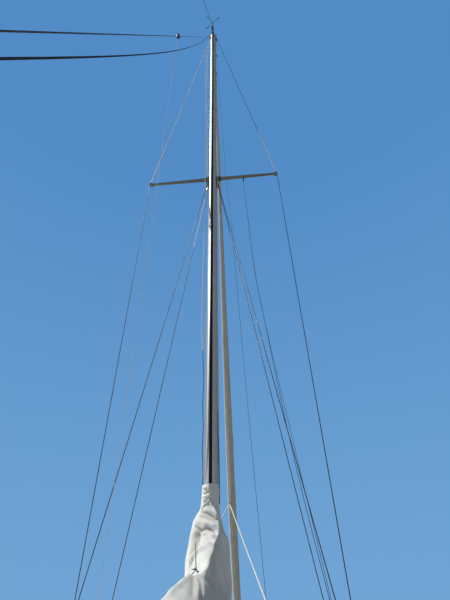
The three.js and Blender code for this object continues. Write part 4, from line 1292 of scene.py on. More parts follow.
@dataclass
class Spreaders:
    """Airfoil arms with root brackets and boots on their tips."""

    level: float = SPREADER_LEVEL
    reach: float = SPREADER_REACH
    root: float = 0.066

    def arm(self, hand: Hand) -> None:
        """One tapered arm, in place of the CAD one.

        Args:
            hand: Its side.
        """
        mesh = bmesh.new()
        rings = []
        for part in (0.0, 0.25, 0.5, 0.75, 1.0):
            x = hand.value * (self.root + (self.reach - 0.02 - self.root) * part)
            chord, thick = 0.033 - 0.012 * part, 0.0125 - 0.004 * part
            rings.append([Vector((x, chord * math.cos(turn) - 0.004 * math.cos(2 * turn),
                                  self.level + thick * math.sin(turn))) for turn in full_turn(24)[:-1]])
        skin(mesh, rings)
        # The arm's dark finish paints its shade.
        finish_piece(f"spreader_arm_{hand.label}", mesh, Body.HULL, SHADED_SPREADER_ALLOY,
                     replaces=[f"spreader_{hand.label}"])

    def bracket(self, hand: Hand) -> None:
        """Root socket bolted to the mast's side.

        Args:
            hand: Its side.
        """
        mesh = bmesh.new()
        for near, far, half, below, above, edge in ((0.058, 0.074, 0.046, -0.03, 0.03, 0.006),
                                                    (0.070, 0.128, 0.038, -0.018, 0.018, 0.008),
                                                    (0.060, 0.080, 0.036, -0.19, -0.02, 0.006)):
            mirrored_block(mesh, hand.value, (near, -half, self.level + below),
                           (far, half, self.level + above), edge)
        for y in (-0.022, 0.022):
            turned(mesh, [(0, 0.007), (0.007, 0.006), (0.009, 0.0), (0.009, -0.03)],
                   Vector((hand.value * 0.1, y, self.level + 0.018)), UP, 8)
        finish_piece(f"spreader_root_{hand.label}", mesh, Body.HULL, BLACK_PLASTIC)

    def boot(self, hand: Hand) -> None:
        """Moulded boot over the tip, where the cap shroud turns.

        Args:
            hand: Its side.
        """
        mesh = bmesh.new()
        x = hand.value * (self.reach - 0.052)
        sweep(mesh, vectors([(x + hand.value * step, 0, self.level + rise) for step, rise in
                             ((0, 0), (0.008, 0), (0.026, 0.001), (0.046, 0.002), (0.058, 0.003))]),
              [0.021, 0.029, 0.036, 0.033, 0.019], 16, flat=0.72)
        finish_piece(f"spreader_boot_{hand.label}", mesh, Body.HULL, BOOT_RUBBER)

    def build(self) -> None:
        """Make both spreaders."""
        for hand in Hand:
            self.arm(hand)
            self.bracket(hand)
            self.boot(hand)


@dataclass
class Stay:
    """One wire with its swaged ends, its toggle and its rigging screw."""

    name: str
    top: Point
    bottom: Point
    through: Point | None = None
    radius: float = 0.004
    screw_length: float = 0.31
    plate: bool = True

    def build(self) -> None:
        """Make the wire and its end fittings."""
        mesh = bmesh.new()
        route = vectors([self.top, *([self.through] if self.through else []), self.bottom])
        down = (route[-1] - route[-2]).normalized()
        wire_end = route[-1] - down * self.screw_length
        wire = self.rounded([*route[:-1], wire_end])
        sweep(mesh, wire, self.radius, 8)
        finish_piece(f"{self.name}_wire", mesh, Body.HULL, WIRE_ROPE, replaces=[self.name])
        ends = bmesh.new()
        for point, away in ((route[0], (route[1] - route[0]).normalized()), (wire_end, -down)):
            turned(ends, [(0.0065, 0.0), (0.0075, 0.02), (0.0075, 0.075), (self.radius + 0.0008, 0.1)], point,
                   away, 12)
        self.rigging_screw(ends, route[-1], -down)
        if self.plate:
            self.chainplate(ends, route[-1])
        finish_piece(f"{self.name}_fittings", ends, Body.HULL, STEEL)

    def rounded(self, route: Route) -> Route:
        """Turn the corner at a spreader tip over a few short steps.

        Args:
            route: Two or three points of the wire.

        Returns:
            The route with its corner eased.
        """
        if len(route) < 3:
            return route
        before = (route[0] - route[1]).normalized()
        after = (route[2] - route[1]).normalized()
        bend = [route[1] + before * 0.012, route[1] + (before + after) * 0.004, route[1] + after * 0.012]
        return [route[0], *bend, route[2]]

    def rigging_screw(self, mesh: bmesh.types.BMesh, foot: Vector, up: Vector) -> None:
        """Fork, threaded studs and the open body of a rigging screw.

        Args:
            mesh: The mesh that gets the screw.
            foot: The pin it stands on.
            up: The direction of the stay.
        """
        turned(mesh, [(0, 0.0), (0.011, 0.0), (0.011, 0.03), (0.006, 0.036), (0.006, 0.09)], foot, up, 12)
        placement = facing(foot, up)
        for side in (-1, 1):
            bar = placement @ Matrix.Translation((side * 0.0095, 0, 0.16))
            placed_block(mesh, bar, (0.006, 0.014, 0.15), 0.0025)
        for level in (0.088, 0.232):
            placed_block(mesh, placement @ Matrix.Translation((0, 0, level)), (0.026, 0.017, 0.016), 0.004)
        turned(mesh, [(0.006, 0.23), (0.006, 0.285), (0.0085, 0.29), (0.0085, 0.315), (self.radius, 0.33)],
               foot, up, 12)
        pin = foot + up * 0.012
        turned(mesh, [(0, -0.016), (0.006, -0.016), (0.006, 0.016), (0, 0.016)], pin,
               placement.col[0].to_3d(), 10)

    def chainplate(self, mesh: bmesh.types.BMesh, foot: Vector) -> None:
        """Plate through the deck with its cover plate."""
        block_about(mesh, foot, (0.004, 0.022, 0.11), (0.004, 0.022, 0.012), 0.002)
        block_about(mesh, foot, (0.023, 0.04, 0.088), (0.023, 0.04, -0.0755), 0.002)


@dataclass
class StandingRigging:
    """All stays and shrouds of the masthead rig."""

    eye_level: float = 1.14
    foot_level: float = 1.0

    def foot(self, top: Point, foot_x: float, foot_y: float) -> Point:
        """Where a shroud aimed at a point of the sheer meets its chainplate's eye."""
        part = (top[2] - self.eye_level) / (top[2] - self.foot_level)
        return (top[0] + (foot_x - top[0]) * part, top[1] + (foot_y - top[1]) * part, self.eye_level)

    def build(self) -> None:
        """Make the shrouds of both sides, the backstay and the forestay."""
        for hand in Hand:
            tip = (SPREADER_REACH, 0.0, SPREADER_LEVEL)
            cap_foot = self.foot(tip, 0.981, -0.148)
            side = [tuple(mirrored_pair(hand, point)) for point in ((0.079, 0.0, 13.282), tip, cap_foot)]
            Stay(f"cap_shroud_{hand.label}", side[0], side[2], through=side[1]).build()
            for name, y, foot_y in (("fore", 0.022, 0.352), ("aft", -0.022, -0.508)):
                top = (0.078, y, 7.264)
                ends = [tuple(mirrored_pair(hand, point)) for point in (top, self.foot(top, 1.026, foot_y))]
                Stay(f"lower_shroud_{name}_{hand.label}", *ends).build()
        Stay("backstay", (0.0, -0.236, MAST_TOP), (0.0, -5.6, 1.13), plate=False).build()
        # White sleeves over parts of three wires: painted highlight of the sun's glint along them.
        glint_sleeve = bmesh.new()
        sweep(glint_sleeve, vectors([(-0.088, 0.0, 13.22), (-0.988, 0.0, 7.44)]), 0.0065, 8)
        sweep(glint_sleeve, vectors([(0.985, 0.0, 7.45), (0.80, 0.0, 8.65)]), 0.0065, 8)
        sweep(glint_sleeve, vectors([(-0.104, 0.031, 7.093), (-0.267, 0.088, 6.013)]), 0.0058, 8)
        finish_piece("shroud_glint_sleeves", glint_sleeve, Body.HULL, WHITE_PLASTIC)
        plate = bmesh.new()
        block(plate, (-0.005, -5.626, 0.985), (0.005, -5.574, 1.144), 0.002)
        block(plate, (-0.03, -5.64, 1.03), (0.03, -5.56, 1.046), 0.003)
        finish_piece("backstay_plate", plate, Body.HULL, STEEL)
        stay = bmesh.new()
        sweep(stay, vectors([(0.0, 3.395, 1.345), (0.0, 0.152, 13.39)]), 0.005, 8)
        finish_piece("forestay_wire", stay, Body.HULL, WIRE_ROPE, replaces=["forestay"])


@dataclass
class Masthead:
    """Crane and wind vane, with sheaves, a lamp, shackles and spare blocks."""

    top: float = MAST_TOP

    def build(self) -> None:
        """Dress the crane and vane, and add what is fixed to them."""
        Carried("masthead_crane", Body.HULL, Slot.BLACK, BLACK_PLASTIC, edge=0.003).build()
        Carried("wind_vane", Body.VANE, Slot.BLACK, BLACK_PLASTIC, edge=0.001).build()
        sheaves = bmesh.new()
        for y in (-0.13, 0.12):
            for x in (-0.011, 0.011):
                turned(sheaves, [(0, -0.007), (0.026, -0.007), (0.021, 0.0), (0.026, 0.007), (0, 0.007)],
                       Vector((x, y, self.top + 0.012)), ACROSS, 20)
        finish_piece("masthead_sheaves", sheaves, Body.HULL, SATIN_ALLOY)
        lamp = bmesh.new()
        turned(lamp, [(0, 0.0), (0.026, 0.0), (0.026, 0.012), (0.020, 0.016), (0.020, 0.055), (0.024, 0.06),
                      (0.012, 0.07), (0, 0.07)], Vector((0.0, 0.02, self.top + 0.042)), UP, 20)
        finish_piece("masthead_lamp", lamp, Body.HULL, WHITE_PLASTIC)
        lugs = bmesh.new()
        for x, y, z in ((-0.14, 0.0, 13.385), (0.072, 0.03, 13.30), (0.074, -0.02, 13.19)):
            hoop(lugs, Vector((x, y, z)), Vector((0, 0.013, 0)), Vector((0, 0, 0.02)), 0.0035, 12, 6)
        finish_piece("masthead_shackles", lugs, Body.HULL, STEEL)
        blocks = bmesh.new()
        for place in ((0.083, -0.03, 13.10), (0.084, -0.03, 12.12), (-0.085, -0.04, 13.30)):
            block_about(blocks, place, (0.012, 0.022, 0.045), (0.012, 0.022, 0.03), 0.008)
        for x, y in ((-0.12, -0.25), (0.04, -0.275)):
            placed_block(blocks, facing(Vector((x, y, 14.042)), Vector((x, y, 0.0))), (0.012, 0.034, 0.034),
                         0.004)
        finish_piece("spare_halyard_blocks", blocks, Body.HULL, BLACK_PLASTIC)


@dataclass
class Line:
    """One rope of the running rigging."""

    name: str
    route: Route
    finish: Finish
    radius: float = 0.005
    body: Body | None = Body.HULL
    slot: Slot = Slot.ROPE

    def build(self) -> bpy.types.Object:
        """Make the rope.

        Returns:
            The rope's object.
        """
        mesh = bmesh.new()
        sweep(mesh, self.route, self.radius, 8)
        return finish_piece(self.name, mesh, self.body, self.finish)


@dataclass(frozen=True)
class Lead:
    """A rope on the hull's body, by the points that it passes."""

    name: str
    finish: Finish
    radius: float
    steps: int
    points: tuple[Point, ...]

    def build(self) -> None:
        """Make the rope along a smooth curve through its points."""
        Line(self.name, smooth_route(self.points, self.steps), self.finish, self.radius).build()


PORT_HALYARD = ((-0.052, -0.08, 13.33), (-0.115, -0.07, 12.9), (-0.162, -0.05, 11.83), (-0.126, -0.05, 9.16),
                (-0.125, -0.05, 8.47), (-0.104, -0.05, 6.83), (-0.110, -0.05, 5.60), (-0.108, -0.05, 4.71),
                (-0.093, -0.05, 4.3))
HALYARDS = (
    Lead("port_halyard", WHITE_ROPE, 0.0055, 6, PORT_HALYARD),
    Lead("port_halyard_second_part", WHITE_ROPE, 0.0045, 6,
         tuple((x + 0.030, y + 0.02, z) for x, y, z in PORT_HALYARD[1:6])),
    Lead("port_halyard_tail", DARK_ROPE, 0.003, 5,
         ((-0.093, -0.05, 4.3), (-0.079, -0.047, 3.95), (-0.085, -0.04, 3.7), (-0.076, -0.04, 3.5),
          (-0.081, -0.035, 3.3), (-0.073, -0.03, 3.12), (-0.079, 0.0, 2.9), (-0.085, 0.02, 2.36))),
    Lead("starboard_strop", DARK_ROPE, 0.004, 4,
         ((0.068, -0.03, 3.62), (0.0665, -0.03, 3.4), (0.0685, -0.025, 3.2), (0.07, -0.02, 2.85))),
    Lead("inner_halyard", WHITE_ROPE, 0.0045, 5,
         ((-0.046, -0.09, 8.2), (-0.0445, -0.084, 7.2), (-0.040, -0.088, 5.96), (-0.041, -0.087, 5.05),
          (-0.050, -0.078, 3.4), (-0.058, -0.06, 3.05))),
    Lead("spare_halyard", DARK_ROPE, 0.0015, 5,
         ((0.066, 0.03, 13.29), (0.085, 0.02, 12.0), (0.145, 0.01, 9.8), (0.179, 0.0, 8.51),
          (0.199, 0.0, 7.61), (0.254, 0.0, 6.49), (0.34, 0.0, 3.9), (0.43, 0.0, 1.47))),
    Lead("starboard_halyard", WHITE_ROPE, 0.0035, 4,
         ((0.085, -0.03, 13.04), (0.083, -0.05, 12.2), (0.082, -0.05, 10.2), (0.08, -0.05, 8.0),
          (0.074, -0.05, 5.0), (0.07, -0.04, 3.4))),
)
FLAG_LINES = (
    Lead("flag_halyard", FLECKED_ROPE, 0.0022, 5,
         ((0.474, 0.004, 7.29), (0.485, 0.0, 6.775), (0.507, 0.0, 5.954), (0.543, 0.0, 5.117))),
    Lead("flag_halyard_tail", DARK_ROPE, 0.0022, 5,
         ((0.543, 0.0, 5.117), (0.572, 0.0, 4.842), (0.72, -0.04, 3.2), (0.93, -0.11, 1.6))),
    Lead("flag_halyard_fall", DARK_ROPE, 0.0018, 5,
         ((0.470, -0.008, 7.29), (0.50, -0.02, 6.3), (0.56, -0.04, 4.9), (0.92, -0.12, 1.62))),
)


@dataclass
class RunningRigging:
    """Halyards down the mast, the topping lift, the slack halyard and flag lines."""

    lift_top: Point = (-0.142, -0.012, 13.3994)
    lift_foot: Point = (0.0185, -3.62, 2.152)
    lift_radius: float = 0.002
    block_part: float = 0.635
    fall_foot: Point = (-0.9664, 0.3184, 1.36)
    halyard_top: Point = (-0.020, -0.122, 13.3993)
    halyard_foot: Point = (0.012, -3.613, 2.1574)
    halyard_sag: float = 0.468
    halyard_radius: float = 0.00275
    flag_top: Point = (0.474, 0.0, 7.335)

    def flag_block(self) -> None:
        """Small block under the starboard spreader."""
        mesh = bmesh.new()
        top = Vector(self.flag_top)
        block_about(mesh, top, (0.009, 0.014, 0.05), (0.009, 0.014, 0.012), 0.006)
        sweep(mesh, [top + UP * 0.005, top + UP * 0.045], 0.003, 6)
        finish_piece("flag_block", mesh, Body.HULL, BLACK_PLASTIC)

    def crossing(self, piece: bpy.types.Object) -> None:
        """Bake a line's placement into its mesh; the line rides on no body."""
        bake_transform(piece)

    def lift(self) -> None:
        """Topping lift with its block, its fall to the port fore shroud and its shackle."""
        top, foot = Vector(self.lift_top), Vector(self.lift_foot)
        block_at = top.lerp(foot, self.block_part)
        down = (foot - top).normalized()
        wire = Line("topping_lift_wire", [top.lerp(foot, step / 24) for step in range(25)], WIRE_ROPE,
                    self.lift_radius, body=None, slot=Slot.WIRE).build()
        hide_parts("topping_lift")
        self.crossing(wire)
        mesh = bmesh.new()
        placement = facing(block_at, down)
        placed_block(mesh, placement, (0.022, 0.036, 0.085), 0.010)
        turned(mesh, [(0, -0.013), (0.019, -0.013), (0.019, 0.013), (0, 0.013)], block_at,
               placement.col[0].to_3d(), 16)
        for side in (-1, 1):
            sweep(mesh, [block_at + down * side * 0.038, block_at + down * side * 0.058], [0.009, 0.004], 8)
        finish_piece("lift_block", mesh, Body.BOOM, BLACK_PLASTIC)
        end = Vector(self.fall_foot)
        fall = Line("lift_fall", [end.lerp(block_at, step / 30) for step in range(31)], WHITE_ROPE,
                    self.lift_radius, body=None).build()
        self.crossing(fall)
        shackle = bmesh.new()
        block(shackle, (-0.005, -3.634, 2.1413), (0.024, -3.604, 2.1563), 0.003)
        for x, y in ((0.0185, -3.62), (0.012, -3.613)):
            turned(shackle, [(0, 0.0), (0.0045, 0.0), (0.0045, 0.018), (0.0028, 0.03)], Vector((x, y, 2.155)),
                   Vector((0, 0.3, 1)), 10)
        finish_piece("lift_shackle", shackle, Body.BOOM, STEEL)

    def slack(self) -> None:
        """Main halyard, clipped to the boom's end and left slack."""
        route = hanging_route(self.halyard_top, self.halyard_foot, self.halyard_sag, 36)
        rope = Line("slack_halyard", route, DARK_ROPE, self.halyard_radius, body=None).build()
        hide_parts("main_halyard")
        self.crossing(rope)

    def build(self) -> None:
        """Make all running lines."""
        for lead in HALYARDS:
            lead.build()
        self.flag_block()
        for lead in FLAG_LINES:
            lead.build()
        self.lift()
        self.slack()


# Headsail


@dataclass
class Headsail:
    """Jib rolled round the forestay: roll, outer strip, drum, clew and sheets."""

    foot: Point = (0.0, 3.395, 1.345)
    head: Point = (0.0, 0.152, 13.39)
    clew: Point = (-0.075, 2.83, 3.33)
    car: Point = (0.869, -0.87, 1.10)
    profile: tuple[tuple[float, float], ...] = (
        (0.422, 0.026), (0.56, 0.044), (1.5, 0.052), (2.9, 0.053), (4.0, 0.048), (6.4, 0.034),
        (9.0, 0.0265), (11.3, 0.0185))
    wraps: float = 4.0
    lap: float = 0.55
    lean: float = 0.032
    sheet_sag: float = 0.03
    clew_run: float = 1.93
    clew_rises: tuple[float, ...] = (0.26, 0.1, 0.0, -0.07, -0.2)

    def at(self, run: float) -> Vector:
        """The middle of the roll at a distance from its foot.

        Args:
            run: Metres along the stay from its foot.

        Returns:
            The point, which hangs a little to port of the wire between the ends.
        """
        foot = Vector(self.foot)
        low, high = self.profile[0][0], self.profile[-1][0]
        part = min(max((run - low) / (high - low), 0.0), 1.0)
        lean = self.lean * math.sin(math.pi * part ** 0.5) ** 1.2
        return foot + (Vector(self.head) - foot).normalized() * run - Vector((lean, 0, 0))

    def radius(self, run: float) -> float:
        """The roll's radius, between the rows of the profile.

        Args:
            run: Metres along the stay from its foot.

        Returns:
            The radius in metres.
        """
        for (low, small), (high, large) in zip(self.profile, self.profile[1:]):
            if run <= high:
                return small + (large - small) * (run - low) / (high - low)
        return self.profile[-1][1]

    def strip(self) -> bpy.types.Object:
        """The sun strip: the roll's outermost turn, which laps over its own edge.

        Returns:
            The strip as an open sheet with its thickness.
        """
        mesh = bmesh.new()
        low, high = self.profile[0][0], self.profile[-1][0]
        along = facing(Vector(self.foot), Vector(self.head) - Vector(self.foot))
        rows, steps = 150, 40
        rings = []
        for row in range(rows + 1):
            run = low + (high - low) * row / rows
            start = self.wraps * 2 * math.pi * row / rows
            reach = 2 * math.pi + self.lap
            ring, shift = [], self.at(run) - along @ Vector((0, 0, run))
            for step in range(steps + 1):
                part = step / steps
                turn = start + reach * part
                swell = 0.05 * noise.noise(Vector((math.cos(turn) * 1.2, math.sin(turn) * 1.2, run * 3.0)))
                size = self.radius(run) * (0.90 + 0.10 * part + swell * 0.5)
                ring.append(along @ Vector((size * math.cos(turn), size * math.sin(turn), run)) + shift)
            rings.append(ring)
        skin(mesh, rings, closed=False)
        piece = finish_piece("furled_headsail_strip", mesh, Body.HEADSAIL, ROLLED_CLOTH,
                             replaces=["furled_headsail"], crease=60)
        thicken(piece, 0.0012, 0.0)
        return piece

    def core(self) -> None:
        """Inner turns of the roll, a white tube along its port side that paints the sunlit edge as a
        highlight, and the swivel over its head.
        """
        mesh = bmesh.new()
        runs = [self.profile[0][0] + (self.profile[-1][0] - self.profile[0][0]) * i / 24 for i in range(25)]
        sweep(mesh, [self.at(run) for run in runs], [self.radius(run) * 0.87 for run in runs], 20)
        finish_piece("furled_headsail_core", mesh, Body.HEADSAIL, SAIL_WHITE)
        # White tube on the roll's port side: painted highlight of its sunlit edge.
        edge = bmesh.new()
        along = runs[1:-1]
        sweep(edge, [self.at(run) + Vector((-0.98, -0.30, 0.0)) * self.radius(run) for run in along],
              [min(0.015, self.radius(run) * 0.38) for run in along], 8)
        finish_piece("furled_headsail_highlight", edge, Body.HEADSAIL, SAIL_WHITE)
        swivel = bmesh.new()
        ahead = (Vector(self.head) - Vector(self.foot)).normalized()
        turned(swivel, [(0.008, 11.31), (0.021, 11.32), (0.021, 11.335), (0.03, 11.345), (0.03, 11.38),
                        (0.026, 11.39), (0.03, 11.40), (0.03, 11.425), (0.02, 11.43),
                        (0.008, 11.43)], Vector(self.foot), ahead, 20)
        finish_piece("headsail_swivel", swivel, Body.HEADSAIL, BLACK_PLASTIC)

    def clew_patch(self) -> None:
        """Corner of the sail that stands out of the roll, with its ring and knots."""
        mesh = bmesh.new()
        clew = Vector(self.clew)
        root = self.at(self.clew_run)
        up = (self.at(2.2) - self.at(1.7)).normalized()
        out = (clew - root).normalized()
        widths = (0.03, 0.06, (clew - root).length + 0.012, 0.055, 0.03)
        inner = [root + up * rise for rise in self.clew_rises]
        skin(mesh, [inner, [point + out * wide for point, wide in zip(inner, widths)]], closed=False)
        patch = finish_piece("clew_patch", mesh, Body.HEADSAIL, ROLLED_CLOTH)
        thicken(patch, 0.003, 0.0)
        ring = bmesh.new()
        side = out.cross(up).normalized()
        hoop(ring, clew - out * 0.012, up * 0.015, out * 0.015, 0.0045, 16, 8)
        for shift in (-0.008, 0.008):
            knot = [clew + out * 0.01 + side * shift + up * rise for rise in (0.012, 0.0, -0.022)]
            sweep(ring, knot, [0.007, 0.011, 0.006], 8)
        finish_piece("clew_ring", ring, Body.HEADSAIL, STEEL)
        square = up.cross(out).length
        steps = zip(widths, widths[1:], self.clew_rises, self.clew_rises[1:])
        cut = sum((wide + next_wide) / 2 * (high - low) for wide, next_wide, high, low in steps) * square
        log.info("clew patch cut %.3f m wide, %.4f square metres", max(widths) * square, cut)

    def sheets(self) -> None:
        """Two sheets from the clew to the cars on the side decks and aft to the winches."""
        clew = Vector(self.clew)
        for hand in Hand:
            car = mirrored_pair(hand, self.car)
            start = clew + Vector((hand.value * 0.008, -0.012, -0.01))
            lead = hanging_route(start, car, self.sheet_sag, 12)
            aft = [mirrored_pair(hand, point) for point in
                   ((0.872, -0.93, 1.118), (0.880, -1.6, 1.118), (0.893, -2.8, 1.17), (0.880, -3.64, 1.312))]
            Line(f"headsail_sheet_{hand.label}", [*lead, *aft], WHITE_ROPE, 0.0075).build()

    def build(self) -> None:
        """Make the rolled sail and what belongs to it."""
        strip = self.strip()
        self.core()
        self.clew_patch()
        self.sheets()
        Carried("furler_drum", Body.HEADSAIL, Slot.BLACK, BLACK_PLASTIC, edge=0.002).build()


# Boom


@dataclass
class BoomGear:
    """Boom with its vang, gooseneck and mainsheet tackle."""

    traveller: Point = (0.0, -3.346, 1.06)
    bail: Point = (0.0, -3.535, 1.985)

    def tackle(self) -> None:
        """Four parts of rope between the traveller's block and the boom's."""
        low, high = Vector(self.traveller), Vector(self.bail)
        up = (high - low).normalized()
        mesh = bmesh.new()
        for x, y in ((-0.02, -0.012), (-0.007, 0.012), (0.007, -0.012), (0.02, 0.012)):
            shift = Vector((x, y, 0))
            start, end = low + up * 0.10 + shift, high - up * 0.12 + shift * 0.8
            points = [start.lerp(end, step / 10) for step in range(11)]
            sweep(mesh, points, 0.0045, 8)
        piece = finish_piece("mainsheet", mesh, None, FLECKED_ROPE)
        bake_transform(piece)
        for name, base, sign, body in (("mainsheet_lower_block", low, 1, Body.HULL),
                                       ("mainsheet_upper_block", high, -1, Body.BOOM)):
            blocks = bmesh.new()
            for x in (-0.015, 0.015):
                middle = base + up * sign * 0.075 + Vector((x, 0, 0))
                turned(blocks, [(0, -0.0115), (0.026, -0.0115), (0.028, -0.009), (0.022, 0), (0.028, 0.009),
                                (0.026, 0.0115), (0, 0.0115)], middle, ACROSS, 24)
                placed_block(blocks, facing(middle + Vector((0.0135 if x > 0 else -0.0135, 0, 0)), up),
                             (0.003, 0.04, 0.085), 0.0014)
            sweep(blocks, [base + up * sign * rise for rise in (0.0, 0.035)], 0.006, 8)
            finish_piece(name, blocks, body, BLACK_PLASTIC)

    def build(self) -> None:
        """Make the boom's own pieces."""
        Carried("boom", Body.BOOM, Slot.MAST, MAST_ALLOY, edge=0.002, crease=25).build()
        Carried("boom_vang", Body.BOOM, Slot.SATIN, SATIN_ALLOY, edge=0.002).build()
        Carried("gooseneck", Body.HULL, Slot.STEEL, STEEL, edge=0.003).build()
        self.tackle()


# Sail cover


@dataclass(frozen=True)
class CoverRow:
    """One row of the cover: its ridge, half widths to port and starboard, and its lower end."""

    ridge: Point
    halves: tuple[float, float]
    widest: tuple[float, float]
    end: Point
    crests: tuple[float, float]

    def side(self, hand: Hand, columns: int) -> Route:
        """Points from the ridge down one side.

        Args:
            hand: The side.
            columns: Steps from the ridge to the lower end.

        Returns:
            The points, the ridge first.
        """
        half, crest = [pair[hand is Hand.STARBOARD] for pair in (self.halves, self.crests)]
        top = Vector((0, *self.ridge[1:]))
        middle, low = Vector((0, *self.widest)), Vector((0, *self.end[1:]))
        points = []
        for step in range(columns + 1):
            turn = math.pi * step / columns
            upper = turn < math.pi / 2
            power = crest if upper else 1.0
            inner = hand.value * self.ridge[0] if upper else self.end[0]
            point = middle + (top - middle) * max(math.cos(turn), 0.0) ** power
            point += (low - middle) * max(-math.cos(turn), 0.0)
            point.x = hand.value * (inner + (half - inner) * max(math.sin(turn), 0.0) ** power)
            points.append(point)
        return points


@dataclass(frozen=True)
class Fold:
    """A crease or a puffed fold of the canvas along a path, deepest in its middle."""

    path: tuple[Point, ...]
    width: float
    height: float

    def lift(self, place: Vector) -> float:
        """How far the fold moves the cloth outwards at a place.

        Args:
            place: A point of the cloth.

        Returns:
            Metres outwards, or inwards where it is negative.
        """
        nearest, part = 1e9, 0.0
        joints = vectors(self.path)
        for index, (start, end) in enumerate(zip(joints, joints[1:])):
            run = end - start
            along = min(max((place - start).dot(run) / run.length_squared, 0.0), 1.0)
            gap = (place - start - run * along).length
            if gap < nearest:
                nearest, part = gap, (index + along) / (len(joints) - 1)
        if nearest > 3 * self.width:
            return 0.0
        fade = min(1.0, 5.0 * part + 0.25, 5.0 * (1 - part) + 0.25)
        return self.height * fade * math.exp(-(nearest / self.width) ** 2)


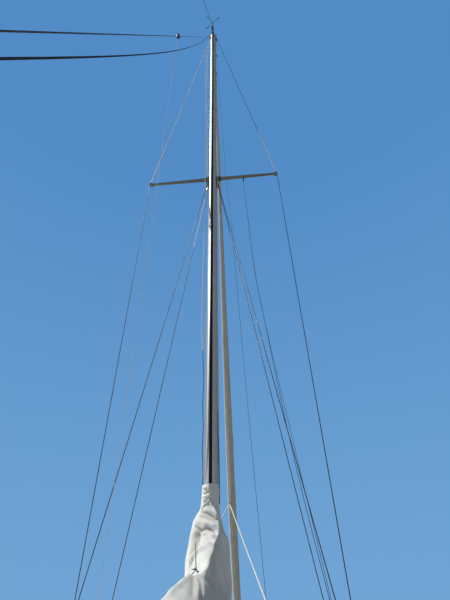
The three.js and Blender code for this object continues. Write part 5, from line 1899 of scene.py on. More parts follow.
@dataclass
class SailCover:
    """Canvas cover laced round the mast and along the boom, over the stowed sail."""

    columns: int = 34
    row_steps: int = 5
    rows: tuple[CoverRow, ...] = (
        CoverRow((0.0, -0.101, 2.992), (0.081, 0.064), (0.0, 2.996), (0.004, 0.101, 2.992), (1.0, 1.0)),
        CoverRow((0.0, -0.106, 2.93), (0.086, 0.064), (0.0, 2.93), (0.004, 0.104, 2.93), (1.0, 1.0)),
        CoverRow((0.002, -0.113, 2.87), (0.088, 0.067), (0.0, 2.87), (0.004, 0.107, 2.87), (1.0, 1.0)),
        CoverRow((0.01, -0.126, 2.82), (0.095, 0.071), (-0.005, 2.815), (0.004, 0.11, 2.81), (1.05, 1.1)),
        CoverRow((0.036, -0.158, 2.78), (0.124, 0.077), (-0.01, 2.77), (0.004, 0.114, 2.76), (1.0, 1.1)),
        CoverRow((0.064, -0.19, 2.735), (0.149, 0.088), (-0.015, 2.72), (0.004, 0.12, 2.71), (1.0, 1.2)),
        CoverRow((0.084, -0.23, 2.68), (0.159, 0.105), (-0.02, 2.66), (0.004, 0.128, 2.62), (1.0, 1.3)),
        CoverRow((0.084, -0.285, 2.61), (0.174, 0.137), (-0.02, 2.595), (0.004, 0.138, 2.52), (1.0, 1.3)),
        CoverRow((0.066, -0.36, 2.55), (0.181, 0.148), (-0.03, 2.51), (0.004, 0.143, 2.41), (1.0, 1.3)),
        CoverRow((0.054, -0.43, 2.492), (0.183, 0.157), (-0.05, 2.44), (0.004, 0.147, 2.28), (1.0, 1.25)),
        CoverRow((0.044, -0.5, 2.442), (0.182, 0.162), (-0.1, 2.34), (0.012, 0.143, 2.17), (1.2, 1.4)),
        CoverRow((0.05, -0.58, 2.402), (0.18, 0.165), (-0.2, 2.265), (0.03, 0.115, 2.09), (1.5, 1.6)),
        CoverRow((0.045, -0.68, 2.374), (0.178, 0.168), (-0.36, 2.195), (0.052, 0.0, 2.03), (1.8, 1.6)),
        CoverRow((0.035, -0.8, 2.356), (0.174, 0.168), (-0.58, 2.15), (0.056, -0.22, 2.012), (2.0, 1.5)),
        CoverRow((0.02, -0.93, 2.345), (0.174, 0.166), (-0.81, 2.125), (0.054, -0.55, 2.01), (2.1, 1.25)),
        CoverRow((0.0, -1.08, 2.331), (0.167, 0.162), (-1.02, 2.115), (0.052, -0.87, 2.012), (2.1, 1.1)),
        CoverRow((0.0, -1.28, 2.297), (0.16, 0.156), (-1.24, 2.11), (0.052, -1.17, 2.016), (2.1, 1.0)),
        CoverRow((0.0, -1.44, 2.273), (0.154, 0.15), (-1.42, 2.125), (0.052, -1.37, 2.019), (2.0, 0.86)),
        CoverRow((0.0, -1.62, 2.243), (0.146, 0.144), (-1.61, 2.125), (0.052, -1.59, 2.022), (1.8, 0.85)),
        CoverRow((0.0, -2.0, 2.22), (0.13, 0.13), (-1.99, 2.13), (0.05, -1.98, 2.029), (1.4, 0.85)),
        CoverRow((0.0, -2.5, 2.205), (0.112, 0.112), (-2.5, 2.135), (0.048, -2.49, 2.038), (1.0, 0.85)),
        CoverRow((0.0, -3.0, 2.19), (0.092, 0.092), (-3.0, 2.14), (0.046, -3.0, 2.046), (0.95, 0.85)),
        CoverRow((0.0, -3.38, 2.175), (0.072, 0.072), (-3.38, 2.135), (0.045, -3.38, 2.052), (0.9, 0.85)),
    )
    folds: tuple[Fold, ...] = (
        Fold(((-0.07, -0.055, 2.966), (-0.045, -0.086, 2.97), (-0.018, -0.101, 2.958),
              (0.004, -0.105, 2.942)), 0.013, 0.007),
        Fold(((-0.077, -0.047, 2.933), (-0.048, -0.09, 2.912), (-0.026, -0.101, 2.932),
              (-0.002, -0.107, 2.919)), 0.009, -0.018),
        Fold(((-0.082, -0.034, 2.905), (-0.043, -0.094, 2.902), (-0.016, -0.108, 2.893),
              (0.002, -0.109, 2.896)), 0.011, 0.01),
        Fold(((-0.077, -0.038, 2.969), (-0.049, -0.086, 2.943), (-0.022, -0.1, 2.955)), 0.007, -0.009),
        Fold(((-0.06, -0.084, 2.851), (-0.033, -0.105, 2.865), (-0.012, -0.11, 2.878)), 0.01, -0.014),
        Fold(((-0.076, -0.09, 2.8), (-0.049, -0.098, 2.83), (-0.004, -0.114, 2.862)), 0.011, 0.012),
        Fold(((-0.004, -0.114, 2.862), (0.028, -0.129, 2.808), (0.063, -0.162, 2.753),
              (0.082, -0.164, 2.714)), 0.012, 0.012),
        Fold(((-0.083, -0.1, 2.786), (-0.025, -0.152, 2.77), (0.022, -0.178, 2.748),
              (0.059, -0.196, 2.726), (0.083, -0.177, 2.709)), 0.014, -0.026),
        Fold(((-0.091, -0.11, 2.764), (-0.04, -0.158, 2.749), (0.011, -0.187, 2.73),
              (0.053, -0.207, 2.709)), 0.012, 0.01),
        Fold(((-0.102, -0.133, 2.714), (-0.043, -0.188, 2.695), (0.016, -0.222, 2.679),
              (0.072, -0.248, 2.654)), 0.018, 0.014),
        Fold(((-0.117, -0.132, 2.68), (-0.077, -0.186, 2.661), (-0.045, -0.217, 2.648),
              (-0.01, -0.225, 2.661), (0.035, -0.251, 2.644), (0.078, -0.283, 2.612)), 0.009, -0.024),
        Fold(((-0.036, -0.231, 2.637), (0.005, -0.248, 2.637), (0.045, -0.269, 2.624)), 0.012, -0.012),
        Fold(((-0.099, -0.167, 2.659), (-0.092, -0.225, 2.594), (-0.102, -0.272, 2.539),
              (-0.117, -0.303, 2.489)), 0.044, -0.04),
        Fold(((-0.084, -0.188, 2.649), (-0.074, -0.245, 2.591), (-0.078, -0.305, 2.536),
              (-0.093, -0.337, 2.492)), 0.016, -0.012),
        Fold(((-0.056, -0.24, 2.61), (-0.008, -0.263, 2.614), (0.033, -0.292, 2.599),
              (0.065, -0.32, 2.58)), 0.014, 0.018),
        Fold(((0.002, -0.307, 2.579), (0.026, -0.323, 2.573), (0.052, -0.349, 2.558)), 0.008, -0.01),
        Fold(((0.026, -0.352, 2.552), (0.053, -0.369, 2.542), (0.078, -0.369, 2.527)), 0.008, -0.01),
        Fold(((0.043, -0.403, 2.513), (0.062, -0.416, 2.5), (0.073, -0.42, 2.482)), 0.01, 0.008),
        Fold(((-0.111, -0.342, 2.434), (-0.094, -0.352, 2.473), (-0.074, -0.353, 2.499)), 0.012, 0.014),
        Fold(((-0.118, -0.34, 2.394), (-0.097, -0.366, 2.438), (-0.075, -0.381, 2.468)), 0.012, -0.014),
        Fold(((-0.046, -0.478, 2.377), (-0.076, -0.434, 2.364), (0.013, -1.104, 2.326),
              (0.009, -1.224, 2.306), (0.011, -1.332, 2.289), (0.007, -1.47, 2.267),
              (0.009, -1.608, 2.244)), 0.016, 0.01),
        Fold(((0.067, -0.929, 2.32), (0.093, -1.072, 2.282), (0.116, -1.231, 2.238)), 0.014, 0.006),
        Fold(((0.04, -1.078, 2.321), (0.068, -1.256, 2.281), (0.096, -1.467, 2.244)), 0.016, -0.006),
        Fold(((0.041, -0.979, 2.333), (0.079, -1.188, 2.281), (0.106, -1.377, 2.243)), 0.014, 0.004),
        Fold(((0.06, -0.877, 2.331), (0.052, -0.69, 2.366), (0.04, -0.506, 2.438)), 0.022, 0.012),
    )
    lacing: tuple[Point, ...] = ((-0.08, -0.315, 2.556), (-0.071, -0.345, 2.531), (-0.064, -0.381, 2.494),
                                 (-0.056, -0.432, 2.444), (-0.046, -0.496, 2.399), (-0.040, -0.530, 2.385))
    hooks: tuple[float, ...] = (-1.18, -1.84, -2.5, -3.16)
    # Depth of a crease at which its dirt and painted shade are full.
    soiled_and_shaded_depth: float = 0.03

    def grid(self) -> list[Route]:
        """Rows of points from the port end over the ridge to the starboard end.

        Returns:
            The cover's rows from the collar's top to the boom's after end.
        """
        rounds = [[*reversed(row.side(Hand.PORT, self.columns)), *row.side(Hand.STARBOARD, self.columns)[1:]]
                  for row in self.rows]
        columns = [smooth_route([ring[index] for ring in rounds], self.row_steps)
                   for index in range(len(rounds[0]))]
        return [[column[row] for column in columns] for row in range(len(columns[0]))]

    def cut_sides(self) -> tuple[float, float]:
        """The canvas laid flat, before its folds.

        Returns:
            The greatest width, from hem to hem over the ridge, and the length along the ridge.
        """
        rings = [list(ring) for ring in self.grid()]
        width = max(sum((b - a).length for a, b in zip(ring, ring[1:])) for ring in rings)
        ridge = [ring[len(ring) // 2] for ring in rings]
        return width, sum((b - a).length for a, b in zip(ridge, ridge[1:]))

    def shell(self) -> bpy.types.Object:
        """The canvas as one sheet.

        Returns:
            The cover's object.
        """
        mesh = bmesh.new()
        skin(mesh, self.grid(), closed=False)
        return finish_piece("sail_cover_canvas", mesh, None, COVER_CANVAS,
                            replaces=["sail_cover", "cover_collar"], crease=70)

    def crumple(self, piece: bpy.types.Object) -> None:
        """Move the cloth outwards or inwards by its folds and by fine wrinkles, and keep how deep each point
        sinks for the dirt and painted shade of its creases.

        Args:
            piece: The cover, whose own mesh is changed.
        """
        mesh = bmesh.new()
        mesh.from_mesh(piece.data)
        mesh.normal_update()
        moves, sunk = [], []
        for vert in mesh.verts:
            place = vert.co
            lift = sum(fold.lift(place) for fold in self.folds)
            # How deep each point sinks, for the dirt and painted shade of the creases.
            sunk.append(min(max(-lift / self.soiled_and_shaded_depth, 0.0), 1.0))
            high = min(max((place.z - 2.35) / 0.25, 0.0), 1.0)
            gather = noise.noise(Vector((place.x * 26, place.y * 5, place.z * 3.0)))
            slack = noise.noise(Vector((place.x * 9, place.y * 2.2, place.z * 8)) + Vector((3.7, 0, 0)))
            band = max(0.0, 1 - abs(place.z - 2.93) / 0.09)
            lift += gather * (0.003 * high + 0.010 * band) + slack * 0.005
            moves.append(vert.normal * lift)
        for vert, move in zip(mesh.verts, moves):
            vert.co += move
        mesh.to_mesh(piece.data)
        mesh.free()
        soiled_and_shaded = piece.data.attributes.new("soiled_and_shaded", "FLOAT", "POINT")
        soiled_and_shaded.data.foreach_set("value", sunk)

    def tie(self) -> None:
        """Thin cord down the aft side with the knot that ends it, and the lacing's hooks."""
        cord = bmesh.new()
        route = smooth_route(self.lacing, 4)
        sweep(cord, route, 0.0022, 6)
        end = route[-1]
        for left, right in (((-0.028, 0.0, -0.030), (0.010, -0.01, 0.012)),
                            ((-0.022, 0.0, 0.004), (0.046, -0.02, -0.024)),
                            ((-0.006, 0.0, 0.010), (0.052, -0.02, -0.036))):
            sweep(cord, [end + Vector(left), end + Vector((0.004, -0.004, 0.0)), end + Vector(right)], 0.0032,
                  6)
        piece = finish_piece("cover_tie", cord, None, DARK_ROPE)
        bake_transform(piece)
        hooks = bmesh.new()
        for y in self.hooks:
            level = 2.028 - (y + 0.9) * 0.014
            for side in (-1, 1):
                route = [(side * x, y, level + rise) for x, rise in
                         ((0.050, 0.03), (0.0505, 0.0), (0.03, -0.036), (0.0, -0.052))]
                sweep(hooks, vectors(route), 0.0022, 6)
                turned(hooks, [(0, 0.0), (0.009, 0.0), (0.009, 0.002), (0.004, 0.004), (0, 0.004)],
                       Vector((side * 0.052, y, level + 0.03)), Vector((side, 0, 0)), 12)
        finish_piece("cover_lacing", hooks, Body.BOOM, DARK_ROPE)

    def build(self) -> None:
        """Make the cover."""
        piece = self.shell()
        smooth = piece.modifiers.new("smooth cloth", "SUBSURF")
        smooth.levels = smooth.render_levels = 1
        apply_modifiers(piece)
        self.crumple(piece)
        width, length = self.cut_sides()
        self.tie()
        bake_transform(piece)


# Deck gear


class Surface:
    """Finished faces of CAD nodes, for setting gear down on them."""

    def __init__(self, *nodes: str) -> None:
        """Collect the nodes' faces.

        Args:
            nodes: Names of the nodes.
        """
        points, faces = [], []
        for name in nodes:
            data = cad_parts[name].data
            start = len(points)
            points.extend(vert.co.copy() for vert in data.vertices)
            faces.extend([start + index for index in face.vertices] for face in data.polygons)
        self.tree = BVHTree.FromPolygons(points, faces)

    def under(self, x: float, y: float) -> Vector:
        """The highest point of the nodes at a place."""
        place, _, _, _ = self.tree.ray_cast(Vector((x, y, LOOK_FROM)), Vector((0, 0, -1)))
        return place if place else Vector((x, y, 0.0))

    def slope(self, x: float, y: float) -> Vector:
        """The upward direction of the surface at a place."""
        _, normal, _, _ = self.tree.ray_cast(Vector((x, y, LOOK_FROM)), Vector((0, 0, -1)))
        return normal if normal else UP

    def nearest(self, place: Point) -> Vector:
        """The point of the nodes that is nearest to a place."""
        return self.tree.find_nearest(Vector(place))[0]


@dataclass(frozen=True)
class Rim:
    """Frame round the flat face of a window, lid or hatch."""

    node: str
    body: Body
    outward: Point
    finish: Finish
    slot: Slot
    radius: float = 0.007
    flatness: float = 0.9

    def build(self) -> None:
        """Find the outline of the faces that look outward and lay a moulding along it."""
        source = bmesh.new()
        source.from_mesh(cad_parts[self.node].data)
        bmesh.ops.remove_doubles(source, verts=source.verts, dist=MERGE_GAP)
        source.normal_update()
        away = Vector(self.outward).normalized()
        chosen = {face for face in source.faces if face.normal.dot(away) > self.flatness}
        edges = [edge for edge in source.edges if sum(face in chosen for face in edge.link_faces) == 1]
        mesh = bmesh.new()
        for edge in edges:
            ends = [vert.co.copy() for vert in edge.verts]
            if (ends[1] - ends[0]).length > 1e-4:
                sweep(mesh, ends, self.radius, 8)
                for end in ends:
                    bmesh.ops.create_uvsphere(mesh, u_segments=8, v_segments=6, radius=self.radius,
                                              matrix=Matrix.Translation(end))
        source.free()
        finish_piece(f"{self.node}_rim", mesh, self.body, self.finish, outwards=False)


@dataclass
class RoofGear:
    """Grab rails, vents, clutches, halyard tails and blocks on the coachroof."""

    roof: Surface
    rail_x: float = 0.575
    rail_ends: tuple[float, float] = (-2.55, -0.25)
    loops: int = 5
    rise: float = 0.042

    def grab_rails(self) -> None:
        """Scalloped wooden rails along both edges of the roof."""
        mesh = bmesh.new()
        after, fore = self.rail_ends
        for hand in Hand:
            count = self.loops * 10
            route = []
            for step in range(count + 1):
                y = after + (fore - after) * step / count
                place = self.roof.under(hand.value * self.rail_x, y)
                by_loop = step % 10 in (0, 1, 9)
                dip = math.cos(2 * math.pi * self.loops * step / count) ** 4 if by_loop else 0.0
                route.append(place + Vector((0, 0, self.rise - 0.004 * dip)))
            sweep(mesh, route, 0.0125, 8)
            for step in range(self.loops + 1):
                y = after + (fore - after) * step / self.loops
                foot = self.roof.under(hand.value * self.rail_x, y)
                placement = facing(foot + Vector((0, 0, self.rise / 2 - 0.002)), UP)
                placed_block(mesh, placement, (0.022, 0.085, self.rise), 0.008)
        finish_piece("grab_rails", mesh, Body.HULL, VARNISH)

    def vents(self) -> None:
        """Two vent boxes with round cowls ahead of the mast."""
        boxes, cowls = bmesh.new(), bmesh.new()
        for hand in Hand:
            foot = self.roof.under(hand.value * 0.30, 0.72)
            low, high = foot - Vector((0.07, 0.11, 0.012)), foot + Vector((0.07, 0.11, 0.062))
            block(boxes, tuple(low), tuple(high), 0.012, 3)
            neck = foot + Vector((0, -0.04, 0.06))
            turned(cowls, [(0, 0.0), (0.050, 0.0), (0.050, 0.010), (0.042, 0.016), (0.042, 0.075)], neck,
                   UP, 24)
            bend = [neck + Vector((0, 0, 0.06)), neck + Vector((0, 0.004, 0.09)),
                    neck + Vector((0, 0.022, 0.118)), neck + Vector((0, 0.05, 0.13)),
                    neck + Vector((0, 0.075, 0.131))]
            sweep(cowls, bend, [0.042, 0.043, 0.047, 0.056, 0.066], 24, capped=False)
        finish_piece("vent_boxes", boxes, Body.HULL, CABIN_GELCOAT)
        thicken(finish_piece("vent_cowls", cowls, Body.HULL, WHITE_PLASTIC), 0.003)

    def clutches(self) -> None:
        """Rope clutches by the companionway and the lines that lead to them."""
        bodies, levers = bmesh.new(), bmesh.new()
        for hand in Hand:
            for offset in (0.0, 0.042, 0.084):
                x = hand.value * (0.40 + offset)
                foot = self.roof.under(x, -2.86)
                placement = facing(foot + Vector((0, 0, 0.022)), self.roof.slope(x, -2.86))
                placed_block(bodies, placement, (0.034, 0.13, 0.048), 0.008)
                lever = placement @ Matrix.Translation((0, 0.01, 0.028))
                placed_block(levers, lever, (0.020, 0.105, 0.010), 0.004)
                route = [Vector((hand.value * 0.12, 0.02,
                                 self.roof.under(hand.value * 0.12, 0.02).z + 0.035)),
                         self.roof.under(hand.value * 0.34 + hand.value * offset * 0.5,
                                         -0.5) + Vector((0, 0, 0.02)),
                         self.roof.under(x, -2.0) + Vector((0, 0, 0.018)),
                         self.roof.under(x, -2.80) + Vector((0, 0, 0.02)),
                         self.roof.under(x, -3.08) + Vector((0, 0, 0.02))]
                finish = WHITE_ROPE if offset else FLECKED_ROPE
                Line(f"lead_{hand.label}_{int(offset * 1000)}", smooth_route(route, 8), finish,
                     0.0045).build()
        finish_piece("rope_clutches", bodies, Body.HULL, BLACK_PLASTIC)
        finish_piece("clutch_levers", levers, Body.HULL, SATIN_ALLOY)

    def organisers(self) -> None:
        """Turning blocks at the foot of the mast and sheave boxes on the roof."""
        mesh = bmesh.new()
        for hand in Hand:
            for x, y, size in ((0.135, 0.02, 0.024), (0.16, -0.06, 0.024), (0.37, -0.5, 0.020)):
                foot = self.roof.under(hand.value * x, y)
                up = self.roof.slope(hand.value * x, y)
                turned(mesh, [(0, -0.004), (size * 1.3, -0.004), (size * 1.3, 0.008), (size, 0.011),
                              (size * 0.8, 0.020), (size, 0.029), (size * 1.3, 0.032), (size * 1.2, 0.040),
                              (0, 0.042)], foot, up, 20)
        finish_piece("turning_blocks", mesh, Body.HULL, BLACK_PLASTIC)

    def build(self) -> None:
        """Make all gear of the roof."""
        self.grab_rails()
        self.vents()
        self.clutches()
        self.organisers()


@dataclass
class SideDeckGear:
    """Sheet tracks with their cars, the furling line, filler caps and an anchor."""

    deck: Surface
    track_x: float = 0.869
    track_ends: tuple[float, float] = (-2.3, -0.15)
    car_y: float = -0.87

    def tracks(self) -> None:
        """A T-track on each side deck, with a car and end stops."""
        rails, cars = bmesh.new(), bmesh.new()
        after, fore = self.track_ends
        for hand in Hand:
            x = hand.value * self.track_x
            rings = []
            for step in range(25):
                place = self.deck.under(x, after + (fore - after) * step / 24)
                rings.append([place + Vector((side, 0, rise)) for side, rise in
                              ((-0.016, -0.006), (0.016, -0.006), (0.016, 0.003), (0.006, 0.004),
                               (0.006, 0.010), (0.014, 0.011), (0.014, 0.015), (-0.014, 0.015),
                               (-0.014, 0.011), (-0.006, 0.010), (-0.006, 0.004), (-0.016, 0.003))])
            skin(rails, rings)
            for y, size in ((after, 0.03), (fore, 0.03), (self.car_y, 0.095)):
                place = self.deck.under(x, y) + Vector((0, 0, 0.016))
                placed_block(cars, facing(place, UP), (0.040, size, 0.024), 0.006)
            top = self.deck.under(x, self.car_y) + Vector((0, 0, 0.026))
            turned(cars, [(0, -0.012), (0.020, -0.012), (0.024, -0.009), (0.018, 0), (0.024, 0.009),
                          (0.020, 0.012), (0, 0.012)], top + Vector((0, 0, 0.03)), ACROSS, 20)
            for side in (-0.014, 0.014):
                placed_block(cars, facing(top + Vector((side, 0, 0.022)), UP), (0.003, 0.05, 0.06), 0.001)
        finish_piece("sheet_tracks", rails, Body.HULL, SATIN_ALLOY)
        finish_piece("sheet_cars", cars, Body.HULL, BLACK_PLASTIC)

    def furling_line(self) -> None:
        """Thin line from the drum along the port side to a jammer by the cockpit."""
        stops = [(-0.20, 3.0), (-0.62, 2.0), (-1.02, 1.0), (-1.28, 0.0), (-1.36, -1.2), (-1.34, -2.6),
                 (-1.20, -3.6), (-1.10, -4.2)]
        route = [Vector((-0.040, 3.375, 1.425))]
        route += [self.deck.under(x, y) + Vector((0, 0, 0.045)) for x, y in stops]
        Line("furling_line", smooth_route(route, 6), FLECKED_ROPE, 0.004).build()
        eyes = bmesh.new()
        for x, y in stops[:-1]:
            place = self.deck.under(x, y)
            turned(eyes, [(0, 0.0), (0.014, 0.0), (0.012, 0.006), (0.005, 0.010), (0.005, 0.036)], place,
                   UP, 12)
            hoop(eyes, place + UP * 0.045, ACROSS * 0.010, UP * 0.010, 0.0028, 12, 6)
        place = self.deck.under(*stops[-1])
        block_about(eyes, place, (0.016, 0.03, 0.004), (0.016, 0.03, 0.055), 0.006)
        finish_piece("furling_fairleads", eyes, Body.HULL, STEEL)

    def caps(self) -> None:
        """Filler caps and a larger plate ahead of the roof, let into the decks."""
        mesh = bmesh.new()
        for x, y, size in ((1.12, -2.9, 0.034), (-1.12, -2.9, 0.034), (1.15, -3.15, 0.034),
                           (0.0, 2.25, 0.055)):
            foot = self.deck.under(x, y)
            turned(mesh, [(0, -0.003), (size, -0.003), (size, 0.003), (size * 0.8, 0.007),
                          (size * 0.25, 0.007), (size * 0.22, 0.003),
                          (0, 0.003)], foot, self.deck.slope(x, y), 28)
        finish_piece("deck_fillers", mesh, Body.HULL, STEEL)

    def anchor(self) -> None:
        """Plough anchor in its chocks on the foredeck, with its chain."""
        mesh = bmesh.new()
        foot = self.deck.under(-0.26, 2.45)
        lift = Vector((0, 0, 0.03))
        fore = self.deck.under(-0.20, 2.95) + lift
        sweep(mesh, [foot + lift, foot.lerp(fore, 0.5) + lift * 1.6, fore + lift * 0.3],
              [0.012, 0.014, 0.010], 8, flat=1.6)
        for side in (-1, 1):
            outer = foot + Vector((side * 0.11, 0.20, 0.016))
            skin(mesh, [[foot + lift + Vector((0, -0.07, 0.0)), foot + lift + Vector((0, 0.26, 0.03))],
                        [outer + Vector((-side * 0.03, -0.1, 0.0)), outer]], closed=False)
        for step in range(14):
            place = fore.lerp(self.deck.under(0.0, 2.33) + lift * 0.4, step / 14)
            place.z = self.deck.under(place.x, place.y).z + 0.010
            spin = 0.5 * math.pi * (step % 2)
            long = Vector((0, 0.014 * math.cos(spin), 0.010 * math.sin(spin)))
            hoop(mesh, place - Vector((0, 0.004, 0)), ACROSS * 0.008, long, 0.004, 10, 6)
        thicken(finish_piece("anchor", mesh, Body.HULL, GALVANISED), 0.006)
        chocks = bmesh.new()
        for x, y in ((-0.26, 2.42), (-0.215, 2.85), (-0.36, 2.62), (-0.16, 2.62)):
            block_about(chocks, self.deck.under(x, y), (0.03, 0.02, 0.01), (0.03, 0.02, 0.016), 0.005)
        finish_piece("anchor_chocks", chocks, Body.HULL, VARNISH)

    def build(self) -> None:
        """Make all gear of the decks."""
        self.tracks()
        self.furling_line()
        self.caps()
        self.anchor()


@dataclass
class RailGear:
    """Side lights on the pulpit, a stern light, a lifebuoy and a boarding ladder."""

    pulpit: Surface
    pushpit: Surface
    ring_radius: float = 0.26
    ladder_x: tuple[float, float] = (-0.62, -0.36)
    treads: tuple[float, ...] = (0.46, 0.70, 0.94)

    def lights(self) -> None:
        """Red and green side lights, and a white one aft."""
        cases = bmesh.new()
        for hand, finish in ((Hand.PORT, PORT_LENS), (Hand.STARBOARD, STARBOARD_LENS)):
            place = self.pulpit.nearest((hand.value * 0.34, 3.35, 1.84))
            aim = Vector((hand.value, 0.9, 0)).normalized()
            foot = place - Vector((0, 0, 0.075)) + aim * 0.012
            turned(cases, [(0, 0.0), (0.028, 0.0), (0.028, 0.012), (0, 0.012)], foot, UP, 20)
            turned(cases, [(0, 0.052), (0.028, 0.052), (0.028, 0.064), (0, 0.068)], foot, UP, 20)
            glass = bmesh.new()
            turned(glass, [(0, 0.0119), (0.026, 0.0119), (0.027, 0.032), (0.026, 0.0521), (0, 0.0521)], foot,
                   UP, 24)
            finish_piece(f"side_light_{hand.label}", glass, Body.HULL, finish)
        stern = self.pushpit.nearest((0.42, -5.62, 1.62))
        turned(cases, [(0, -0.07), (0.022, -0.07), (0.024, -0.02), (0, -0.015)], stern, UP, 20)
        finish_piece("light_cases", cases, Body.HULL, BLACK_PLASTIC)

    def lifebuoy(self) -> None:
        """Hard ring buoy on the starboard quarter, with its four bands."""
        rail = self.pushpit.nearest((0.98, -5.25, 1.63))
        centre = rail + Vector((-0.055, -0.02, -self.ring_radius + 0.02))
        placement = facing(centre, Vector((1.0, -0.25, 0.0)))
        mesh = bmesh.new()
        first, second = (placement.col[axis].to_3d() * self.ring_radius for axis in (0, 1))
        hoop(mesh, centre, first, second, 0.045, 48, 16)
        bmesh.ops.remove_doubles(mesh, verts=mesh.verts, dist=1e-5)
        finish_piece("lifebuoy", mesh, Body.HULL, WHITE_PLASTIC)
        bands = bmesh.new()
        for quarter in range(4):
            centre_turn = math.pi / 2 * quarter + math.pi / 4
            arc = [centre + first * math.cos(turn) + second * math.sin(turn)
                   for turn in (centre_turn + 0.14 * (step - 3) / 3 for step in range(7))]
            sweep(bands, arc, 0.0468, 16)
        finish_piece("lifebuoy_bands", bands, Body.HULL, PORT_LENS)

    def ladder(self) -> None:
        """Folding ladder on the transom."""
        mesh = bmesh.new()
        for x in self.ladder_x:
            sweep(mesh, smooth_route([(x, -5.60, 1.075), (x, -5.70, 1.085), (x, -5.715, 1.03),
                                      (x, -5.715, 0.8), (x, -5.708, 0.42)], 5), 0.0125, 12)
        for level in self.treads:
            sweep(mesh, vectors([(x, -5.713, level) for x in self.ladder_x]), 0.011, 12)
        finish_piece("boarding_ladder", mesh, Body.HULL, STEEL)
        treads = bmesh.new()
        for level in self.treads:
            block(treads, (-0.60, -5.735, level - 0.006), (-0.38, -5.701, level + 0.014), 0.005)
        finish_piece("ladder_treads", treads, Body.HULL, SLATTED_TEAK)

    def build(self) -> None:
        """Make all gear of the rails."""
        self.lights()
        self.lifebuoy()
        self.ladder()


@dataclass
class CockpitGear:
    """Winch tops with their rope turns, compass, instruments, cleats and tiller fittings."""

    winch: Point = (0.915, -3.7, 1.385)
    drum_radius: float = 0.043

    def winches(self) -> None:
        """Self-tailing jaws, top caps and the turns of sheet round each drum."""
        for hand, body in ((Hand.PORT, Body.WINCH_PORT), (Hand.STARBOARD, Body.WINCH_STARBOARD)):
            top = mirrored_pair(hand, self.winch)
            caps = bmesh.new()
            turned(caps, [(0, 0.0005), (0.046, 0.0005), (0.049, 0.004), (0.034, 0.009), (0.034, 0.012),
                          (0.049, 0.017), (0.046, 0.021), (0.016, 0.024), (0.012, 0.024), (0.010, 0.012),
                          (0, 0.012)], top,
                   UP, 32)
            finish_piece(f"winch_jaws_{hand.label}", caps, body, BLACK_PLASTIC)
            reach = self.drum_radius + 0.0075
            turns = [top + Vector((reach * math.cos(turn), reach * math.sin(turn),
                                   -0.085 + 0.0155 * turn / (2 * math.pi)))
                     for turn in (math.pi * step / 12 for step in range(62))]
            Line(f"sheet_turns_{hand.label}", turns, WHITE_ROPE, 0.0072).build()

    def instruments(self) -> None:
        """Compass and dials on the after face of the cabin."""
        cases = bmesh.new()
        aft = Vector((0, -1, 0))
        face = Surface("coachroof")
        for x, z, size in ((-0.46, 1.24, 0.065), (0.44, 1.27, 0.052), (0.58, 1.27, 0.052)):
            place, _, _, _ = face.tree.ray_cast(Vector((x, -5.0, z)), Vector((0, 1, 0)))
            base = place if place else Vector((x, -3.15, z))
            turned(cases, [(0, -0.004), (size, -0.004), (size, 0.012), (size * 0.86, 0.018),
                           (size * 0.8, 0.013), (0, 0.013)], base, aft, 32)
            glass = bmesh.new()
            dome = 0.035 if size > 0.06 else 0.002
            turned(glass, [(0, 0.0135 + dome), (size * 0.4, 0.0135 + dome * 0.85),
                           (size * 0.7, 0.0135 + dome * 0.4), (size * 0.79, 0.0132)], base, aft, 32)
            finish_piece(f"dial_{'port' if x < 0 else 'starboard'}_{int(size * 1000 + x * 10)}", glass,
                         Body.HULL, SMOKED_PANE)
        finish_piece("instrument_cases", cases, Body.HULL, BLACK_PLASTIC)

    def cleats(self) -> None:
        """Sheet cleats on the coamings behind the winches."""
        mesh = bmesh.new()
        for hand in Hand:
            for y in (-4.05, -4.35):
                centre = mirrored_pair(hand, (0.912, y, 1.25))
                for rise in (-0.02, 0.02):
                    block_about(mesh, centre, (0.009, 0.008 - rise, 0.004), (0.009, 0.008 + rise, 0.03))
                route = [centre + Vector((0, step * 0.028,
                                          0.034 + 0.004 * abs(step))) for step in range(-3, 4)]
                sweep(mesh, route, [0.004, 0.007, 0.009, 0.010, 0.009, 0.007, 0.004], 10)
        finish_piece("sheet_cleats", mesh, Body.HULL, SATIN_ALLOY)

    def tiller_head(self) -> None:
        """Cheeks and bolts at the rudder's head and an extension on the tiller."""
        mesh = bmesh.new()
        turned(mesh, [(0.023, 1.06), (0.034, 1.062), (0.034, 1.07), (0.027, 1.075), (0.027, 1.12),
                      (0.023, 1.12)],
               Vector((0, -4.9, 0)), UP, 28)
        for side in (-1, 1):
            mirrored_block(mesh, side, (0.030, -4.96, 1.10), (0.036, -4.72, 1.185), 0.002)
            for y, z in ((-4.93, 1.15), (-4.85, 1.15), (-4.76, 1.155)):
                turned(mesh, [(0, 0.0), (0.009, 0.0), (0.008, 0.006), (0, 0.007)],
                       Vector((side * 0.036, y, z)), Vector((side, 0, 0)), 8)
        finish_piece("tiller_head", mesh, Body.STEERING, STEEL)
        extension = bmesh.new()
        sweep(extension, vectors([(0.0, -4.02, 1.236), (0.0, -4.75, 1.232)]), 0.009, 12)
        turned(extension, [(0, 0.0), (0.014, 0.0), (0.013, 0.03), (0.010, 0.034)],
               Vector((0.0, -4.02, 1.202)), UP, 16)
        finish_piece("tiller_extension", extension, Body.STEERING, SATIN_ALLOY)

    def build(self) -> None:
        """Make all gear of the cockpit."""
        self.winches()
        self.instruments()
        self.cleats()
        self.tiller_head()


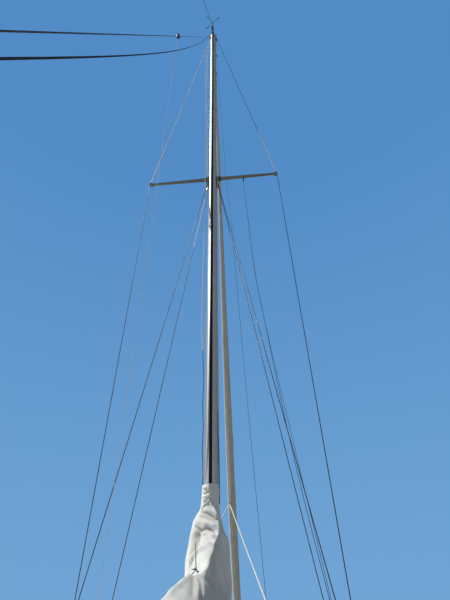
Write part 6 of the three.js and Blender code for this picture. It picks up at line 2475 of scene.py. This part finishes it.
@dataclass
class UnderwaterGear:
    """Shaft anode, skin fittings and exhaust outlet."""

    hull: Surface

    def build(self) -> None:
        """Make the small fittings below the deck line."""
        anode = bmesh.new()
        fore, aft = Vector((0, -3.1, -0.283)), Vector((0, -4.33, -0.5))
        turned(anode, [(0.0125, -0.03), (0.026, -0.018), (0.030, 0.0), (0.026, 0.018), (0.0125, 0.03)],
               fore.lerp(aft, 0.6), aft - fore, 24)
        finish_piece("shaft_anode", anode, Body.PROPELLER, GALVANISED)
        fittings = bmesh.new()
        for x, y, z, size in ((1.0, -2.6, -0.30, 0.026), (-1.0, -2.2, -0.30, 0.026), (0.9, 0.4, -0.28, 0.022),
                              (-0.9, -3.6, -0.2, 0.026)):
            place, normal, _, _ = self.hull.tree.find_nearest(Vector((x, y, z)))
            turned(fittings, [(0, 0.002), (size * 0.55, 0.002), (size * 0.6, 0.007), (size, 0.004),
                              (size, -0.003)],
                   place, normal, 20)
        finish_piece("skin_fittings", fittings, Body.HULL, BRONZE)
        outlet = bmesh.new()
        turned(outlet, [(0.026, 0.03), (0.031, 0.028), (0.034, 0.006), (0.044, 0.004), (0.044, -0.01),
                        (0.026, -0.01)],
               Vector((0.42, -5.722, 0.32)), Vector((0, -1, 0.1)), 24)
        finish_piece("exhaust_outlet", outlet, Body.HULL, BLACK_PLASTIC)


RIMS = (
    *(Rim(f"window_{place}_{hand.label}", Body.HULL, (hand.value, 0.0, 0.15), SATIN_ALLOY, Slot.SATIN, 0.006,
          0.8)
      for place in ("aft", "fore") for hand in Hand),
    Rim("fore_hatch", Body.FORE_HATCH, (0.0, 0.12, 1.0), SATIN_ALLOY, Slot.SATIN, 0.008, 0.97),
    Rim("companion_hatch", Body.COMPANION, (0.0, 0.0, 1.0), VARNISH, Slot.VARNISH, 0.007, 0.85),
)


# Deck and hull


def both(name: str, slot: Slot, finish: Finish, edge: float) -> Iterable[Carried]:
    """A node of the hull's body on each side, port first."""
    return (Carried(f"{name}_{hand.label}", Body.HULL, slot, finish, edge=edge) for hand in Hand)


CARRIED = (
    Carried("hull", Body.HULL, Slot.GELCOAT, TOPSIDES, edge=0.004),
    Carried("deck_fore", Body.HULL, Slot.DECK, DECK_TREAD, edge=0.004),
    Carried("deck_aft", Body.HULL, Slot.DECK, DECK_TREAD, edge=0.003),
    *both("side_deck", Slot.DECK, DECK_TREAD, 0.002),
    Carried("coachroof", Body.HULL, Slot.GELCOAT, CABIN_GELCOAT, edge=0.008, crease=28),
    Carried("cockpit", Body.HULL, Slot.COCKPIT, COCKPIT_GELCOAT, edge=0.008),
    *both("window_aft", Slot.WINDOW, SMOKED_PANE, 0.002),
    *both("window_fore", Slot.WINDOW, SMOKED_PANE, 0.002),
    Carried("washboards", Body.HULL, Slot.VARNISH, VARNISH, edge=0.004),
    Carried("companion_hatch", Body.COMPANION, Slot.HATCH, SMOKED_PANE, edge=0.006),
    Carried("fore_hatch", Body.FORE_HATCH, Slot.HATCH, SMOKED_PANE, edge=0.005),
    Carried("locker_lid_port", Body.LID_PORT, Slot.SLATS, SLATTED_TEAK, edge=0.003),
    Carried("locker_lid_starboard", Body.LID_STARBOARD, Slot.SLATS, SLATTED_TEAK, edge=0.003),
    Carried("mainsheet_track", Body.HULL, Slot.SATIN, SATIN_ALLOY, edge=0.003),
    *both("winch_base", Slot.BLACK, BLACK_PLASTIC, 0.003),
    Carried("winch_drum_port", Body.WINCH_PORT, Slot.STEEL, STEEL, edge=0.002),
    Carried("winch_drum_starboard", Body.WINCH_STARBOARD, Slot.STEEL, STEEL, edge=0.002),
    Carried("saloon_floor", Body.HULL, Slot.CABIN, CABIN_WOOD, edge=0.006),
    Carried("engine_block", Body.HULL, Slot.ENGINE, ENGINE_PAINT, edge=0.02),
    Carried("keel", Body.HULL, Slot.BOTTOM, BOTTOM_PAINT, edge=0.012),
    Carried("rudder", Body.STEERING, Slot.BOTTOM, BOTTOM_PAINT, edge=0.006),
    Carried("tiller", Body.STEERING, Slot.VARNISH, VARNISH, edge=0.008),
    Carried("propeller", Body.PROPELLER, Slot.BRONZE, BRONZE, edge=0.002),
    Carried("shaft_strut", Body.HULL, Slot.BRONZE, BRONZE, edge=0.004),
    *both("toe_rail", Slot.SATIN, SATIN_ALLOY, 0.003),
    *both("guardrail", Slot.STEEL, STEEL, 0.0),
    *both("pushpit", Slot.STEEL, STEEL, 0.0),
    Carried("pulpit", Body.HULL, Slot.STEEL, STEEL, edge=0.0),
    Carried("stem_fitting", Body.HULL, Slot.STEEL, STEEL, edge=0.003),
)


def main() -> None:
    """Build the boat from the rig down, light it and report what was made."""
    logging.basicConfig(level=logging.INFO, format="%(name)s: %(message)s")
    PhotoCamera().build()
    Studio().build()
    deck = Surface("deck_fore", "deck_aft", "side_deck_port", "side_deck_starboard")
    for assembly in (Mast(), Spreaders(), StandingRigging(), Masthead(), RunningRigging(), Headsail(),
                     BoomGear(), SailCover(), *CARRIED, *RIMS, RoofGear(Surface("coachroof")),
                     SideDeckGear(deck), RailGear(Surface("pulpit"),
                                                  Surface("pushpit_port", "pushpit_starboard")),
                     CockpitGear(), UnderwaterGear(Surface("hull"))):
        assembly.build()


if __name__ == "__main__":
    main()
